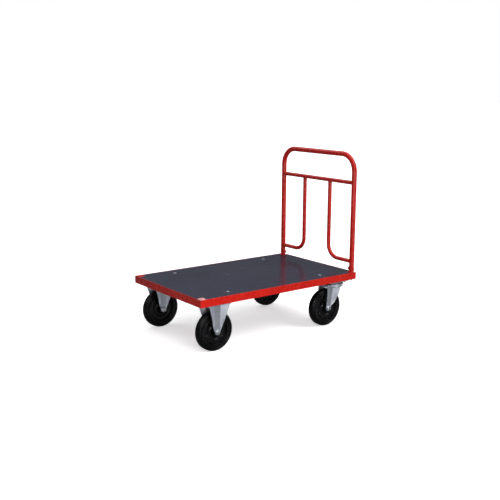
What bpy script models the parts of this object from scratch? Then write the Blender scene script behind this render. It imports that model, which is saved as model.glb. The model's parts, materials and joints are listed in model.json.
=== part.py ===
"""Folding platform cart.

A flat-bed cart: an angle-steel frame round a plywood deck, two fixed casters at the front, two
swivel casters at the rear, and a tubular push handle that folds down over the deck.

Units are metres. X runs along the bed from the front (-X) to the handle end (+X), Y runs from the
left side (-Y) to the right side (+Y), and Z is up. The origin is on the floor, under the middle
of the bed.
"""

import bmesh
import bpy
from math import cos, pi, sin, tan
from mathutils import Matrix, Vector

GAP = 0.0003            # air between pieces that touch
MERGE = 0.00001
OVERLAP = 0.001         # how far welded shapes run into each other
LEFT, RIGHT = -1, 1
SIDES = {"left": LEFT, "right": RIGHT}

# Bed
BED_LENGTH = 1.000
BED_WIDTH = 0.617
BED_HEIGHT = 0.279      # top edge of the rails above the floor
RAIL_HEIGHT = 0.038
RAIL_FLANGE = 0.040
RAIL_WALL = 0.004
DECK_THICKNESS = 0.015
DECK_RECESS = 0.0005    # deck surface below the rails' top edge
CROSS_WALL = 0.003
CROSS_TUBES = ((-0.4375, 0.040), (-0.315, 0.060), (0.0, 0.040), (0.315, 0.060), (0.4375, 0.040))
CORNER_BOX = 0.034
CORNER_BOX_WALL = 0.003

# Bolts that hold the deck, with domed heads let a little way into it
DECK_BOLT_X, DECK_BOLT_Y = 0.298, 0.241
DECK_BOLT_RADIUS = 0.004
DECK_BOLT_HEAD_RADIUS = 0.010
DECK_BOLT_HEAD_HEIGHT = 0.004
DECK_BOLT_SEAT = 0.001  # depth of the head's seat in the deck
DECK_BOLT_NUT_RADIUS = 0.0075
DECK_BOLT_NUT_DEPTH = 0.0065
DECK_BOLT_TAIL = 0.0025 # thread that shows below the nut

# Handle
HANDLE_X = 0.4852       # the legs' centre line
HANDLE_Y = 0.2885
HANDLE_TOP = 0.904      # centre line of the top bar
HANDLE_RADIUS = 0.0135
HANDLE_BEND = 0.092
CROSS_BAR_Z = 0.757
BRACE_Y = 0.103
BRACE_FOOT_Z = 0.335
BRACE_RADIUS = 0.0105
BRACE_BEND = 0.070
TUBE_WALL = 0.002

# Hinge at the foot of each leg
PIVOT_Z = 0.296
FOOT_Z = 0.248
LUG_THICKNESS = 0.008
LUG_RADIUS = 0.012
SLOT_WIDTH = 0.009
SLOT_ABOVE_PIVOT = 0.014
BRACKET_WALL = 0.004
BRACKET_X = 0.4662      # deck side of the bracket's web
BRACKET_Y = 0.2685      # deck side of the bracket's cheek
PIVOT_RADIUS = 0.005
PIVOT_HEAD_RADIUS = 0.0075
PIVOT_HEAD_HEIGHT = 0.0032
PIVOT_NUT_RADIUS = 0.008
PIVOT_NUT_DEPTH = 0.007
BUSH_RADIUS = 0.007

# Slide bolts that lock the upright handle
LOCK_RADIUS = 0.005
LOCK_Z = 0.2565
LOCK_TIP_Y = 0.2665
LOCK_ARM_Y = 0.200
LOCK_ARM_Z = 0.214
LOCK_TRAVEL = 0.028
GUIDE_Y = (0.240, 0.256)

# Wheels and casters
WHEEL_RADIUS = 0.100
WHEEL_SEGMENTS = 28
TRACK_Y = 0.2484
FRONT_AXLE_X = -0.3856
SWIVEL_X = 0.385
TRAIL = 0.054
FORK_WALL = 0.0035
FORK_INSIDE = 0.030     # half the clear width between a fork's legs
PLATE_SIZE = (0.140, 0.110, 0.004)
AXLE_RADIUS = 0.006
AXLE_HEX_RADIUS = 0.009 # across the flats of an axle's head and nut
AXLE_HEAD_HEIGHT = 0.0075
AXLE_NUT_DEPTH = 0.010
AXLE_TAIL = 0.002       # thread that shows beyond the nut
TYRE_SEAT_RADIUS = 0.072
TYRE_HALF_WIDTH = 0.0205
RIM_HALF_WIDTH = 0.018
HUB_BORE_RADIUS = 0.0135
HUB_HALF_LENGTH = 0.0295

# Swivel heads
CROWN_TOP, CROWN_BOTTOM = 0.2265, 0.2225
CROWN_RADIUS = 0.058
SKIRT_BOTTOM = 0.2115
SKIRT_WALL = 0.003
LOWER_RACE_TOP = 0.2300
LOWER_RACE_INNER, LOWER_RACE_OUTER = 0.010, 0.040
UPPER_RACE_INNER, UPPER_RACE_OUTER = 0.012, 0.038
KING_PIN_RADIUS = 0.007
KING_HEAD_RADIUS, KING_HEAD_HEIGHT = 0.011, 0.007
KING_NUT_RADIUS, KING_NUT_DEPTH = 0.012, 0.008

RAIL_BOTTOM = BED_HEIGHT - RAIL_HEIGHT
FLANGE_TOP = RAIL_BOTTOM + RAIL_WALL
DECK_TOP = BED_HEIGHT - DECK_RECESS
DECK_BOTTOM = DECK_TOP - DECK_THICKNESS
CROSS_TOP = DECK_BOTTOM - GAP
PLATE_TOP = RAIL_BOTTOM - GAP
PLATE_BOTTOM = PLATE_TOP - PLATE_SIZE[2]
REAR_AXLE_X = SWIVEL_X - TRAIL
ALONG_Y = (pi / 2, 0, 0)


# Collections, materials and objects

def clear_scene():
    for leftover in list(bpy.data.objects):
        bpy.data.objects.remove(leftover)


def new_collection(name):
    collection = bpy.data.collections.new(name)
    bpy.context.scene.collection.children.link(collection)
    return collection


def new_material(name, color, roughness, metallic):
    material = bpy.data.materials.new(name)
    material.use_nodes = True
    shader = material.node_tree.nodes["Principled BSDF"]
    shader.inputs["Base Color"].default_value = (*color, 1.0)
    shader.inputs["Roughness"].default_value = roughness
    shader.inputs["Metallic"].default_value = metallic
    material.diffuse_color = (*color, 1.0)
    return material


clear_scene()
PARTS = new_collection("folding_platform_cart")
CUTTERS = new_collection("cutters")

RED_PAINT = ((0.60, 0.025, 0.018), 0.32, 0.0)
ZINC = ((0.62, 0.64, 0.67), 0.38, 0.9)
DARK_FILM = ((0.045, 0.048, 0.070), 0.30, 0.0)
BLACK_RUBBER = ((0.012, 0.012, 0.013), 0.62, 0.0)
BLACK_PLASTIC = ((0.016, 0.016, 0.018), 0.42, 0.0)
BRONZE = ((0.45, 0.30, 0.13), 0.45, 0.9)


def add_part(name, mesh, finish, location=(0, 0, 0), rotation=(0, 0, 0), parent=None):
    """Put a mesh in the model as the named piece, with its own material."""
    piece = bpy.data.objects.new(name, mesh)
    piece.location = location
    piece.rotation_euler = rotation
    piece.parent = parent
    piece.data.materials.clear()
    piece.data.materials.append(new_material(name + "_finish", *finish))
    PARTS.objects.link(piece)
    return piece


def add_tool(name, mesh, location=(0, 0, 0), rotation=(0, 0, 0)):
    """A hidden body that is only cut from, or joined to, a piece."""
    tool = bpy.data.objects.new(name, mesh)
    tool.location = location
    tool.rotation_euler = rotation
    tool.hide_render = True
    tool.display_type = "WIRE"
    CUTTERS.objects.link(tool)
    return tool


def add_pivot(name, location):
    pivot = bpy.data.objects.new(name, None)
    pivot.location = location
    pivot.empty_display_size = 0.05
    PARTS.objects.link(pivot)
    return pivot


def combine(piece, operation, *tools):
    for tool in tools:
        modifier = piece.modifiers.new(operation.lower(), "BOOLEAN")
        modifier.operation = operation
        modifier.solver = "EXACT"
        modifier.object = tool


def cut(piece, *tools):
    combine(piece, "DIFFERENCE", *tools)


def join(piece, *tools):
    combine(piece, "UNION", *tools)


# Shapes

def box(name, xs, ys, zs):
    """A box mesh between two coordinates on each axis, given in either order."""
    spans = [sorted(pair) for pair in (xs, ys, zs)]
    middle = Vector([(low + high) / 2 for low, high in spans])
    size = Vector([high - low for low, high in spans])
    shape = bmesh.new()
    bmesh.ops.create_cube(shape, size=1.0, matrix=Matrix.LocRotScale(middle, None, size))
    mesh = bpy.data.meshes.new(name)
    shape.to_mesh(mesh)
    shape.free()
    return mesh


def cylinder(name, radius, length, segments=12):
    """A cylinder mesh along Z whose flats, not its edges, lie at the radius."""
    corner_radius = radius / cos(pi / segments)
    shape = bmesh.new()
    bmesh.ops.create_cone(shape, cap_ends=True, segments=segments, radius1=corner_radius,
                          radius2=corner_radius, depth=length)
    mesh = bpy.data.meshes.new(name)
    shape.to_mesh(mesh)
    shape.free()
    return mesh


def welded_mesh(name, curve):
    """The mesh that a curve makes, with its loose caps welded on."""
    holder = bpy.data.objects.new(name, curve)
    PARTS.objects.link(holder)
    graph = bpy.context.evaluated_depsgraph_get()
    mesh = bpy.data.meshes.new_from_object(holder.evaluated_get(graph))
    bpy.data.objects.remove(holder)
    shape = bmesh.new()
    shape.from_mesh(mesh)
    bmesh.ops.remove_doubles(shape, verts=shape.verts, dist=MERGE)
    shape.to_mesh(mesh)
    shape.free()
    return mesh


def plate(name, outline, thickness):
    """A flat plate with this outline in XY, centred on Z = 0."""
    curve = bpy.data.curves.new(name, "CURVE")
    curve.dimensions = "2D"
    curve.fill_mode = "BOTH"
    curve.extrude = thickness / 2
    spline = curve.splines.new("POLY")
    spline.points.add(len(outline) - 1)
    for point, (x, y) in zip(spline.points, outline):
        point.co = (x, y, 0, 1)
    spline.use_cyclic_u = True
    return welded_mesh(name, curve)


def rounded_path(corners, bend, steps=5):
    """Points through the corners, with an arc of the bend radius at each inner corner."""
    corners = [Vector(corner) for corner in corners]
    points = [corners[0]]
    for before, corner, after in zip(corners, corners[1:], corners[2:]):
        back = (before - corner).normalized()
        ahead = (after - corner).normalized()
        half = back.angle(ahead) / 2
        centre = corner + (back + ahead).normalized() * bend / sin(half)
        start = corner + back * bend / tan(half) - centre
        end = corner + ahead * bend / tan(half) - centre
        for step in range(steps + 1):
            spoke = start.normalized().slerp(end.normalized(), step / steps)
            points.append(centre + spoke * bend)
    points.append(corners[-1])
    return points


def swept_mesh(name, path, radius, resolution, capped):
    """A round bar or an open tube surface along a path."""
    curve = bpy.data.curves.new(name, "CURVE")
    curve.dimensions = "3D"
    curve.bevel_depth = radius
    curve.bevel_resolution = resolution
    curve.use_fill_caps = capped
    spline = curve.splines.new("POLY")
    spline.points.add(len(path) - 1)
    for point, place in zip(spline.points, path):
        point.co = (*place, 1)
    return welded_mesh(name, curve)


def add_tube(name, path, radius, finish, parent):
    """A hollow steel tube along a path, in its parent's coordinates."""
    tube = add_part(name, swept_mesh(name, path, radius, 4, False), finish, parent=parent)
    wall = tube.modifiers.new("wall", "SOLIDIFY")
    wall.thickness = TUBE_WALL
    wall.offset = -1
    return tube


def turned(name, profile, closed):
    """A profile of (radius, height) points, ready for a Screw modifier about Z."""
    mesh = bpy.data.meshes.new(name)
    points = [(radius, 0, height) for radius, height in profile]
    edges = [(i, i + 1) for i in range(len(points) - 1)]
    if closed:
        edges.append((len(points) - 1, 0))
    mesh.from_pydata(points, edges, [])
    return mesh


def turn(piece, segments):
    """Revolve a piece's profile about its own Z."""
    screw = piece.modifiers.new("turn", "SCREW")
    screw.steps = segments
    screw.render_steps = segments
    screw.use_merge_vertices = True
    screw.merge_threshold = MERGE
    screw.use_smooth_shade = False
    return piece


def ring(inner, outer, low, high):
    """The closed profile of a plain ring."""
    return [(outer, high), (outer, low), (inner, low), (inner, high)]


def dome(radius, height, base):
    """Profile points over a domed head, from its top to its rim."""
    angles = [step * pi / 6 for step in range(4)]
    return [(radius * sin(angle), base + height * cos(angle)) for angle in angles]


def arc(x, y, radius, start, end, steps):
    """Points on an arc, with its angles in quarter turns."""
    angles = [(start + (end - start) * step / steps) * pi / 2 for step in range(steps + 1)]
    return [(x + radius * cos(angle), y + radius * sin(angle)) for angle in angles]


# Frame and deck

def rail_mesh(name, length, mitred_ends):
    """An angle section along Z: outer face on X = 0, flange towards +X, bottom on Y = 0.

    At a mitred end each point slides back by its distance from the outer face.
    """
    section = [(0, 0), (RAIL_FLANGE, 0), (RAIL_FLANGE, RAIL_WALL), (RAIL_WALL, RAIL_WALL),
               (RAIL_WALL, RAIL_HEIGHT), (0, RAIL_HEIGHT)]
    mesh = plate(name, section, length)
    for vertex in mesh.vertices:
        for end in mitred_ends:
            if vertex.co.z * end > 0:
                vertex.co.z -= end * (vertex.co.x + GAP)
    return mesh


def add_rails():
    half_length, half_width = BED_LENGTH / 2, BED_WIDTH / 2
    add_part("left_side_rail", rail_mesh("left_side_rail", BED_LENGTH, [-1]), RED_PAINT,
             (0, -half_width, RAIL_BOTTOM), Matrix(((0, 0, 1), (1, 0, 0), (0, 1, 0))).to_euler())
    add_part("right_side_rail", rail_mesh("right_side_rail", BED_LENGTH, [1]), RED_PAINT,
             (0, half_width, RAIL_BOTTOM), Matrix(((0, 0, -1), (-1, 0, 0), (0, 1, 0))).to_euler())
    add_part("front_rail", rail_mesh("front_rail", BED_WIDTH, [-1, 1]), RED_PAINT,
             (-half_length, 0, RAIL_BOTTOM), Matrix(((1, 0, 0), (0, 0, -1), (0, 1, 0))).to_euler())
    rear_length = 2 * (BRACKET_Y - GAP)
    rear = add_part("rear_rail", rail_mesh("rear_rail", rear_length, []), RED_PAINT,
                    (half_length, 0, RAIL_BOTTOM),
                    Matrix(((-1, 0, 0), (0, 0, 1), (0, 1, 0))).to_euler())
    reach = LOCK_RADIUS + 2 * GAP
    for word, side in SIDES.items():
        slot = box("slot", (HANDLE_X - reach, HANDLE_X + reach),
                   (side * (LOCK_ARM_Y - reach), side * (LOCK_ARM_Y + LOCK_TRAVEL + reach)),
                   (RAIL_BOTTOM - 0.01, FLANGE_TOP + 0.01))
        cut(rear, add_tool("lock_arm_slot_" + word, slot))


def add_cross_tubes():
    """Rectangular tubes across the bed, between the side rails' flanges."""
    half = BED_WIDTH / 2 - RAIL_FLANGE - GAP
    for number, (x, width) in enumerate(CROSS_TUBES, 1):
        name = f"cross_tube_{number}"
        outside = box(name, (x - width / 2, x + width / 2), (-half, half), (RAIL_BOTTOM, CROSS_TOP))
        tube = add_part(name, outside, RED_PAINT)
        hollow = box("hollow", (x - width / 2 + CROSS_WALL, x + width / 2 - CROSS_WALL),
                     (-half - 0.01, half + 0.01),
                     (RAIL_BOTTOM + CROSS_WALL, CROSS_TOP - CROSS_WALL))
        cut(tube, add_tool(name + "_hollow", hollow))


def add_corner_boxes():
    """Square tube stubs, closed on top, that stiffen the two front corners."""
    wall = CORNER_BOX_WALL
    for word, side in SIDES.items():
        x = -BED_LENGTH / 2 + RAIL_WALL + GAP
        y = side * (BED_WIDTH / 2 - RAIL_WALL - GAP)
        name = "front_corner_box_" + word
        stub = add_part(name, box(name, (x, x + CORNER_BOX), (y, y - side * CORNER_BOX),
                                  (FLANGE_TOP + GAP, BED_HEIGHT)), RED_PAINT)
        hollow = box("hollow", (x + wall, x + CORNER_BOX - wall),
                     (y - side * wall, y - side * (CORNER_BOX - wall)),
                     (0, BED_HEIGHT - wall))
        cut(stub, add_tool(name + "_hollow", hollow))


def add_deck():
    """The plywood deck, notched at its four corners and drilled for its bolts."""
    half_x = BED_LENGTH / 2 - RAIL_WALL - GAP
    half_y = BED_WIDTH / 2 - RAIL_WALL - GAP
    deck = add_part("deck_board", box("deck_board", (-half_x, half_x), (-half_y, half_y),
                                      (DECK_BOTTOM, DECK_TOP)), DARK_FILM)
    notch = CORNER_BOX + GAP
    for word, side in SIDES.items():
        front = box("notch", (-1, -half_x + notch), (side, side * (half_y - notch)), (0, 1))
        rear = box("notch", (1, BRACKET_X - GAP), (side, side * (BRACKET_Y - GAP)), (0, 1))
        cut(deck, add_tool("front_notch_" + word, front), add_tool("rear_notch_" + word, rear))
    return deck


def deck_bolt_profile():
    """Half the section of a domed bolt with its nut run up, from the head's top down."""
    seat = DECK_TOP - DECK_BOLT_SEAT + GAP
    nut_top = RAIL_BOTTOM - GAP
    nut_bottom = nut_top - DECK_BOLT_NUT_DEPTH
    end = nut_bottom - DECK_BOLT_TAIL
    return dome(DECK_BOLT_HEAD_RADIUS, DECK_BOLT_HEAD_HEIGHT, seat) + [
        (DECK_BOLT_RADIUS, seat), (DECK_BOLT_RADIUS, nut_top), (DECK_BOLT_NUT_RADIUS, nut_top),
        (DECK_BOLT_NUT_RADIUS, nut_bottom), (DECK_BOLT_RADIUS, nut_bottom),
        (DECK_BOLT_RADIUS, end), (0, end)]


def add_deck_bolts(deck):
    """A bolt near each corner, through the deck and a wide cross tube."""
    number = 0
    for x, tube_name in ((-DECK_BOLT_X, "cross_tube_2"), (DECK_BOLT_X, "cross_tube_4")):
        for y in (-DECK_BOLT_Y, DECK_BOLT_Y):
            number += 1
            name = f"deck_bolt_{number}"
            turn(add_part(name, turned(name, deck_bolt_profile(), False), ZINC, (x, y, 0)), 12)
            hole = add_tool(name + "_hole", cylinder("hole", DECK_BOLT_RADIUS + GAP, 0.1),
                            (x, y, DECK_BOTTOM))
            seat = add_tool(name + "_seat",
                            cylinder("seat", DECK_BOLT_HEAD_RADIUS + GAP, 2 * DECK_BOLT_SEAT),
                            (x, y, DECK_TOP))
            cut(deck, hole, seat)
            cut(bpy.data.objects[tube_name], hole)


# Handle and its hinges

def handle_point(y, z):
    """A point in the handle's plane, measured from the pivot axis."""
    return (0, y, z - PIVOT_Z)


def add_handle(pivot):
    """The bent tube, its cross bar and its two J-shaped braces, all coped to fit."""
    corners = [handle_point(-HANDLE_Y, FOOT_Z), handle_point(-HANDLE_Y, HANDLE_TOP),
               handle_point(HANDLE_Y, HANDLE_TOP), handle_point(HANDLE_Y, FOOT_Z)]
    loop = add_tube("handle_loop", rounded_path(corners, HANDLE_BEND), HANDLE_RADIUS, RED_PAINT,
                    pivot)
    bar_path = [handle_point(-HANDLE_Y, CROSS_BAR_Z), handle_point(HANDLE_Y, CROSS_BAR_Z)]
    bar = add_tube("handle_cross_bar", bar_path, BRACE_RADIUS, RED_PAINT, pivot)
    leg_tools = [add_tool("leg_envelope_" + word,
                          cylinder("envelope", HANDLE_RADIUS + GAP, HANDLE_TOP, 24),
                          (HANDLE_X, side * HANDLE_Y, HANDLE_TOP / 2))
                 for word, side in SIDES.items()]
    bar_tool = add_tool("cross_bar_envelope", cylinder("envelope", BRACE_RADIUS + GAP, 0.4, 24),
                        (HANDLE_X, 0, CROSS_BAR_Z), ALONG_Y)
    cut(bar, *leg_tools)
    for (word, side), leg_tool in zip(SIDES.items(), leg_tools):
        corners = [handle_point(side * BRACE_Y, CROSS_BAR_Z),
                   handle_point(side * BRACE_Y, BRACE_FOOT_Z),
                   handle_point(side * HANDLE_Y, BRACE_FOOT_Z)]
        brace = add_tube("handle_brace_" + word, rounded_path(corners, BRACE_BEND), BRACE_RADIUS,
                         RED_PAINT, pivot)
        cut(brace, leg_tool, bar_tool)
    slot_feet(loop)


def slot_feet(loop):
    """Fork each foot over its lug, and drill it for the pivot and for the slide bolt."""
    for word, side in SIDES.items():
        y = side * HANDLE_Y
        slot = box("slot", (HANDLE_X - 0.03, HANDLE_X + 0.03),
                   (y - SLOT_WIDTH / 2, y + SLOT_WIDTH / 2),
                   (FOOT_Z - 0.01, PIVOT_Z + SLOT_ABOVE_PIVOT))
        pivot_hole = cylinder("hole", PIVOT_RADIUS + GAP, 0.05)
        lock_hole = cylinder("hole", LOCK_RADIUS + 2 * GAP, 0.05)
        cut(loop, add_tool("foot_slot_" + word, slot),
            add_tool("pivot_hole_" + word, pivot_hole, (HANDLE_X, y, PIVOT_Z), ALONG_Y),
            add_tool("lock_hole_" + word, lock_hole, (HANDLE_X, y, LOCK_Z), ALONG_Y))


def add_hinge_bracket(word, side):
    """A welded bracket: a web behind the leg, a cheek beside it, and the lug inside its fork."""
    name = "hinge_bracket_" + word
    low = FLANGE_TOP + GAP
    web_x = (BRACKET_X, BRACKET_X + BRACKET_WALL)
    outer_y = side * (BED_WIDTH / 2 - RAIL_WALL - GAP)
    bracket = add_part(name, box(name, web_x, (side * BRACKET_Y, outer_y), (low, BED_HEIGHT)),
                       RED_PAINT)
    cheek = box("cheek", (BRACKET_X, BED_LENGTH / 2),
                (side * BRACKET_Y, side * (BRACKET_Y + BRACKET_WALL)), (low, BED_HEIGHT))
    lug_middle = side * HANDLE_Y
    half = LUG_THICKNESS / 2
    foot = box("foot", (BRACKET_X + BRACKET_WALL / 2, HANDLE_X),
               (lug_middle - half, lug_middle + half), (low, BED_HEIGHT))
    outline = [(-LUG_RADIUS, low - PIVOT_Z), (LUG_RADIUS, low - PIVOT_Z)]
    outline += arc(0, 0, LUG_RADIUS, 0, 2, 10)
    lug = plate("lug", outline, LUG_THICKNESS)
    join(bracket, add_tool(name + "_cheek", cheek), add_tool(name + "_foot", foot),
         add_tool(name + "_lug", lug, (HANDLE_X, lug_middle, PIVOT_Z), ALONG_Y))
    bush_hole = cylinder("hole", BUSH_RADIUS + GAP, 0.02)
    lock_hole = cylinder("hole", LOCK_RADIUS + 2 * GAP, 0.06)
    cut(bracket,
        add_tool("bush_hole_" + word, bush_hole, (HANDLE_X, lug_middle, PIVOT_Z), ALONG_Y),
        add_tool("keeper_hole_" + word, lock_hole, (HANDLE_X, side * 0.28, LOCK_Z), ALONG_Y))


def outward(side):
    """The rotation that points a piece's Z away from the bed, to this side."""
    return (-side * pi / 2, 0, 0)


def add_pivot_hardware(word, side, pivot):
    """The pivot bolt through a leg's fork, its nut, and the bush in the lug."""
    reach = HANDLE_RADIUS + GAP
    end = -reach - PIVOT_NUT_DEPTH - 0.001
    profile = dome(PIVOT_HEAD_RADIUS, PIVOT_HEAD_HEIGHT, reach) + [
        (PIVOT_RADIUS, reach), (PIVOT_RADIUS, end), (0, end)]
    place = handle_point(side * HANDLE_Y, PIVOT_Z)
    turn(add_part("pivot_bolt_" + word, turned("pivot_bolt", profile, False), ZINC, place,
                  outward(side), pivot), 16)
    nut_y = side * (HANDLE_Y - reach - PIVOT_NUT_DEPTH / 2)
    nut = add_part("pivot_nut_" + word, cylinder("pivot_nut", PIVOT_NUT_RADIUS, PIVOT_NUT_DEPTH, 6),
                   ZINC, handle_point(nut_y, PIVOT_Z), outward(side), pivot)
    cut(nut, add_tool("pivot_nut_bore_" + word, cylinder("bore", PIVOT_RADIUS + GAP, 0.02),
                      (HANDLE_X, nut_y, PIVOT_Z), ALONG_Y))
    half = LUG_THICKNESS / 2
    bush = add_part("pivot_bush_" + word,
                    turned("pivot_bush", ring(PIVOT_RADIUS + 2 * GAP, BUSH_RADIUS, -half, half), True),
                    BRONZE, (HANDLE_X, side * HANDLE_Y, PIVOT_Z), outward(side))
    turn(bush, 16)


def add_slide_bolt(word, side):
    """An L-shaped round bolt, drawn back, in its guide block on the rear rail's flange."""
    corners = [(0, 0, 0), (0, -side * (LOCK_TIP_Y - LOCK_ARM_Y), 0),
               (0, -side * (LOCK_TIP_Y - LOCK_ARM_Y), LOCK_ARM_Z - LOCK_Z)]
    bolt = swept_mesh("slide_bolt", rounded_path(corners, 0.010), LOCK_RADIUS, 2, True)
    add_part("slide_bolt_" + word, bolt, ZINC, (HANDLE_X, side * LOCK_TIP_Y, LOCK_Z))
    name = "slide_bolt_guide_" + word
    block = box(name, (HANDLE_X - 0.011, BED_LENGTH / 2 - RAIL_WALL - GAP),
                [side * y for y in GUIDE_Y], (FLANGE_TOP + GAP, DECK_BOTTOM - GAP))
    guide = add_part(name, block, RED_PAINT)
    cut(guide, add_tool(name + "_bore", cylinder("bore", LOCK_RADIUS + GAP, 0.05),
                        (HANDLE_X, side * sum(GUIDE_Y) / 2, LOCK_Z), ALONG_Y))


# Casters and wheels

def fork_leg(name, rows, side, first_share):
    """One pressed fork leg: a sheet whose edges splay outwards, lofted down rows of
    (height, edge, fold, fold, edge, splay), with X from the fork's origin. The first edge has
    only this share of the splay.
    """
    shape = bmesh.new()
    grid = []
    for z, edge_a, fold_a, fold_b, edge_b, splay in rows:
        inner, outer = side * FORK_INSIDE, side * (FORK_INSIDE + splay)
        first = side * (FORK_INSIDE + splay * first_share)
        places = ((edge_a, first), (fold_a, inner), (fold_b, inner), (edge_b, outer))
        grid.append([shape.verts.new((x, y, z)) for x, y in places])
    for above, below in zip(grid, grid[1:]):
        for column in range(3):
            face = [above[column], below[column], below[column + 1], above[column + 1]]
            shape.faces.new(face if side < 0 else face[::-1])
    mesh = bpy.data.meshes.new(name)
    shape.to_mesh(mesh)
    shape.free()
    return mesh


def add_fork_legs(fork, rows, place, axle_x, first_share=1):
    """Join a pair of legs to a fork and drill them for the axle."""
    for word, side in SIDES.items():
        leg = add_tool(f"{fork.name}_leg_{word}", fork_leg("leg", rows, side, first_share),
                       place)
        wall = leg.modifiers.new("wall", "SOLIDIFY")
        wall.thickness = FORK_WALL
        wall.offset = 1
        join(fork, leg)
    hole = add_tool(fork.name + "_axle_hole", cylinder("hole", AXLE_RADIUS + GAP, 0.12),
                    (place[0] + axle_x, place[1], WHEEL_RADIUS), ALONG_Y)
    cut(fork, hole)


FIXED_LEG = ((PLATE_BOTTOM + 0.002, -0.060, -0.0245, 0.0245, 0.060, 0.021),
             (0.200, -0.049, -0.0225, 0.0225, 0.049, 0.0175),
             (0.165, -0.038, -0.0205, 0.0205, 0.038, 0.0125),
             (0.130, -0.028, -0.0180, 0.0180, 0.028, 0.004),
             (0.112, -0.022, -0.0155, 0.0155, 0.022, 0.001),
             (0.100, -0.017, -0.013, 0.013, 0.017, 0.0005),
             (0.090, -0.012, -0.009, 0.009, 0.012, 0.0),
             (0.085, -0.006, -0.003, 0.003, 0.006, 0.0))
SWIVEL_LEG = ((0.2245, -0.066, -0.056, -0.0225, 0.0165, 0.014),
              (0.190, -0.067, -0.0565, -0.0265, 0.0125, 0.014),
              (0.157, -0.068, -0.058, -0.030, -0.004, 0.0135),
              (0.128, -0.069, -0.061, -0.0345, -0.0215, 0.010),
              (0.107, -0.0695, -0.064, -0.040, -0.0345, 0.004),
              (0.092, -0.066, -0.063, -0.045, -0.042, 0.0005),
              (0.085, -0.060, -0.057, -0.051, -0.048, 0.0))
SWIVEL_REAR_SHARE = 0.4   # of a swivel leg's splay, at its rear edge


def add_fixed_fork(word, side):
    """A fixed caster's fork: its top plate and two legs, pressed and welded as one piece."""
    name = "fixed_fork_" + word
    length, width, _ = PLATE_SIZE
    place = (FRONT_AXLE_X, side * TRACK_Y, 0)
    top = box(name, (-length / 2, length / 2), (-width / 2, width / 2), (PLATE_BOTTOM, PLATE_TOP))
    add_fork_legs(add_part(name, top, ZINC, place), FIXED_LEG, place, 0)


def add_swivel_plate(word, side):
    """A swivel caster's top plate with its upper ball race, and the king pin through it."""
    length, width, _ = PLATE_SIZE
    place = (SWIVEL_X, side * TRACK_Y, 0)
    name = "swivel_plate_" + word
    top = box(name, (-length / 2, length / 2), (-width / 2, width / 2), (PLATE_BOTTOM, PLATE_TOP))
    plate_part = add_part(name, top, ZINC, place)
    race = ring(UPPER_RACE_INNER, UPPER_RACE_OUTER, LOWER_RACE_TOP + GAP, PLATE_BOTTOM + OVERLAP)
    join(plate_part, turn(add_tool(name + "_race", turned("race", race, True), place), 24))
    cut(plate_part, add_tool(name + "_bore", cylinder("bore", KING_PIN_RADIUS + GAP, 0.1),
                             (place[0], place[1], PLATE_TOP)))
    turn(add_part("king_pin_" + word, turned("king_pin", king_pin_profile(), False), ZINC, place),
         16)


def king_pin_profile():
    """Half the section of the bolt that holds a swivel head together, from the top down."""
    head = PLATE_TOP + GAP
    nut = CROWN_BOTTOM - GAP
    return [(0, head + KING_HEAD_HEIGHT), (KING_HEAD_RADIUS, head + KING_HEAD_HEIGHT),
            (KING_HEAD_RADIUS, head), (KING_PIN_RADIUS, head), (KING_PIN_RADIUS, nut),
            (KING_NUT_RADIUS, nut), (KING_NUT_RADIUS, nut - KING_NUT_DEPTH),
            (0, nut - KING_NUT_DEPTH)]


def add_swivel_fork(word, side):
    """The turning half of a swivel caster: crown, lower ball race, dust skirt and two legs."""
    name = "swivel_fork_" + word
    place = (SWIVEL_X, side * TRACK_Y, 0)
    middle = (place[0], place[1], (CROWN_TOP + CROWN_BOTTOM) / 2)
    disc = ring(UPPER_RACE_INNER, CROWN_RADIUS, CROWN_BOTTOM, CROWN_TOP)
    crown = turn(add_part(name, turned(name, disc, True), ZINC, place), 24)
    _, leg_rear, *_, leg_splay = SWIVEL_LEG[0]
    reach = FORK_INSIDE + SWIVEL_REAR_SHARE * leg_splay + FORK_WALL + OVERLAP
    bridge = box("bridge", (leg_rear - OVERLAP, 0), (-reach, reach), (CROWN_BOTTOM, CROWN_TOP))
    race = ring(LOWER_RACE_INNER, LOWER_RACE_OUTER, CROWN_TOP - OVERLAP, LOWER_RACE_TOP)
    skirt = ring(CROWN_RADIUS - SKIRT_WALL, CROWN_RADIUS, SKIRT_BOTTOM, CROWN_TOP - OVERLAP)
    join(crown, add_tool(name + "_bridge", bridge, place),
         turn(add_tool(name + "_race", turned("race", race, True), place), 24),
         turn(add_tool(name + "_skirt", turned("skirt", skirt, True), place), 24))
    add_fork_legs(crown, SWIVEL_LEG, place, -TRAIL, SWIVEL_REAR_SHARE)
    cut(crown, add_tool(name + "_bore", cylinder("bore", KING_PIN_RADIUS + GAP, 0.03), middle))


def tyre_profile():
    """A solid tyre's closed section, flat on the tread, with rounded shoulders."""
    outer = WHEEL_RADIUS / cos(pi / WHEEL_SEGMENTS)
    half = [(outer, 0.009), (outer - 0.0035, 0.016), (outer - 0.0105, TYRE_HALF_WIDTH),
            (0.077, TYRE_HALF_WIDTH), (TYRE_SEAT_RADIUS, TYRE_HALF_WIDTH - 0.0015)]
    return [(radius, -height) for radius, height in half] + [(r, h) for r, h in reversed(half)]


def rim_profile():
    """A wheel rim's closed section: a thin barrel, a disc and a long hub."""
    seat = TYRE_SEAT_RADIUS - GAP
    half = [(seat, RIM_HALF_WIDTH), (0.068, RIM_HALF_WIDTH), (0.066, 0.003), (0.024, 0.003),
            (0.021, HUB_HALF_LENGTH), (HUB_BORE_RADIUS, HUB_HALF_LENGTH)]
    return [(radius, -height) for radius, height in half] + [(r, h) for r, h in reversed(half)]


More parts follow.
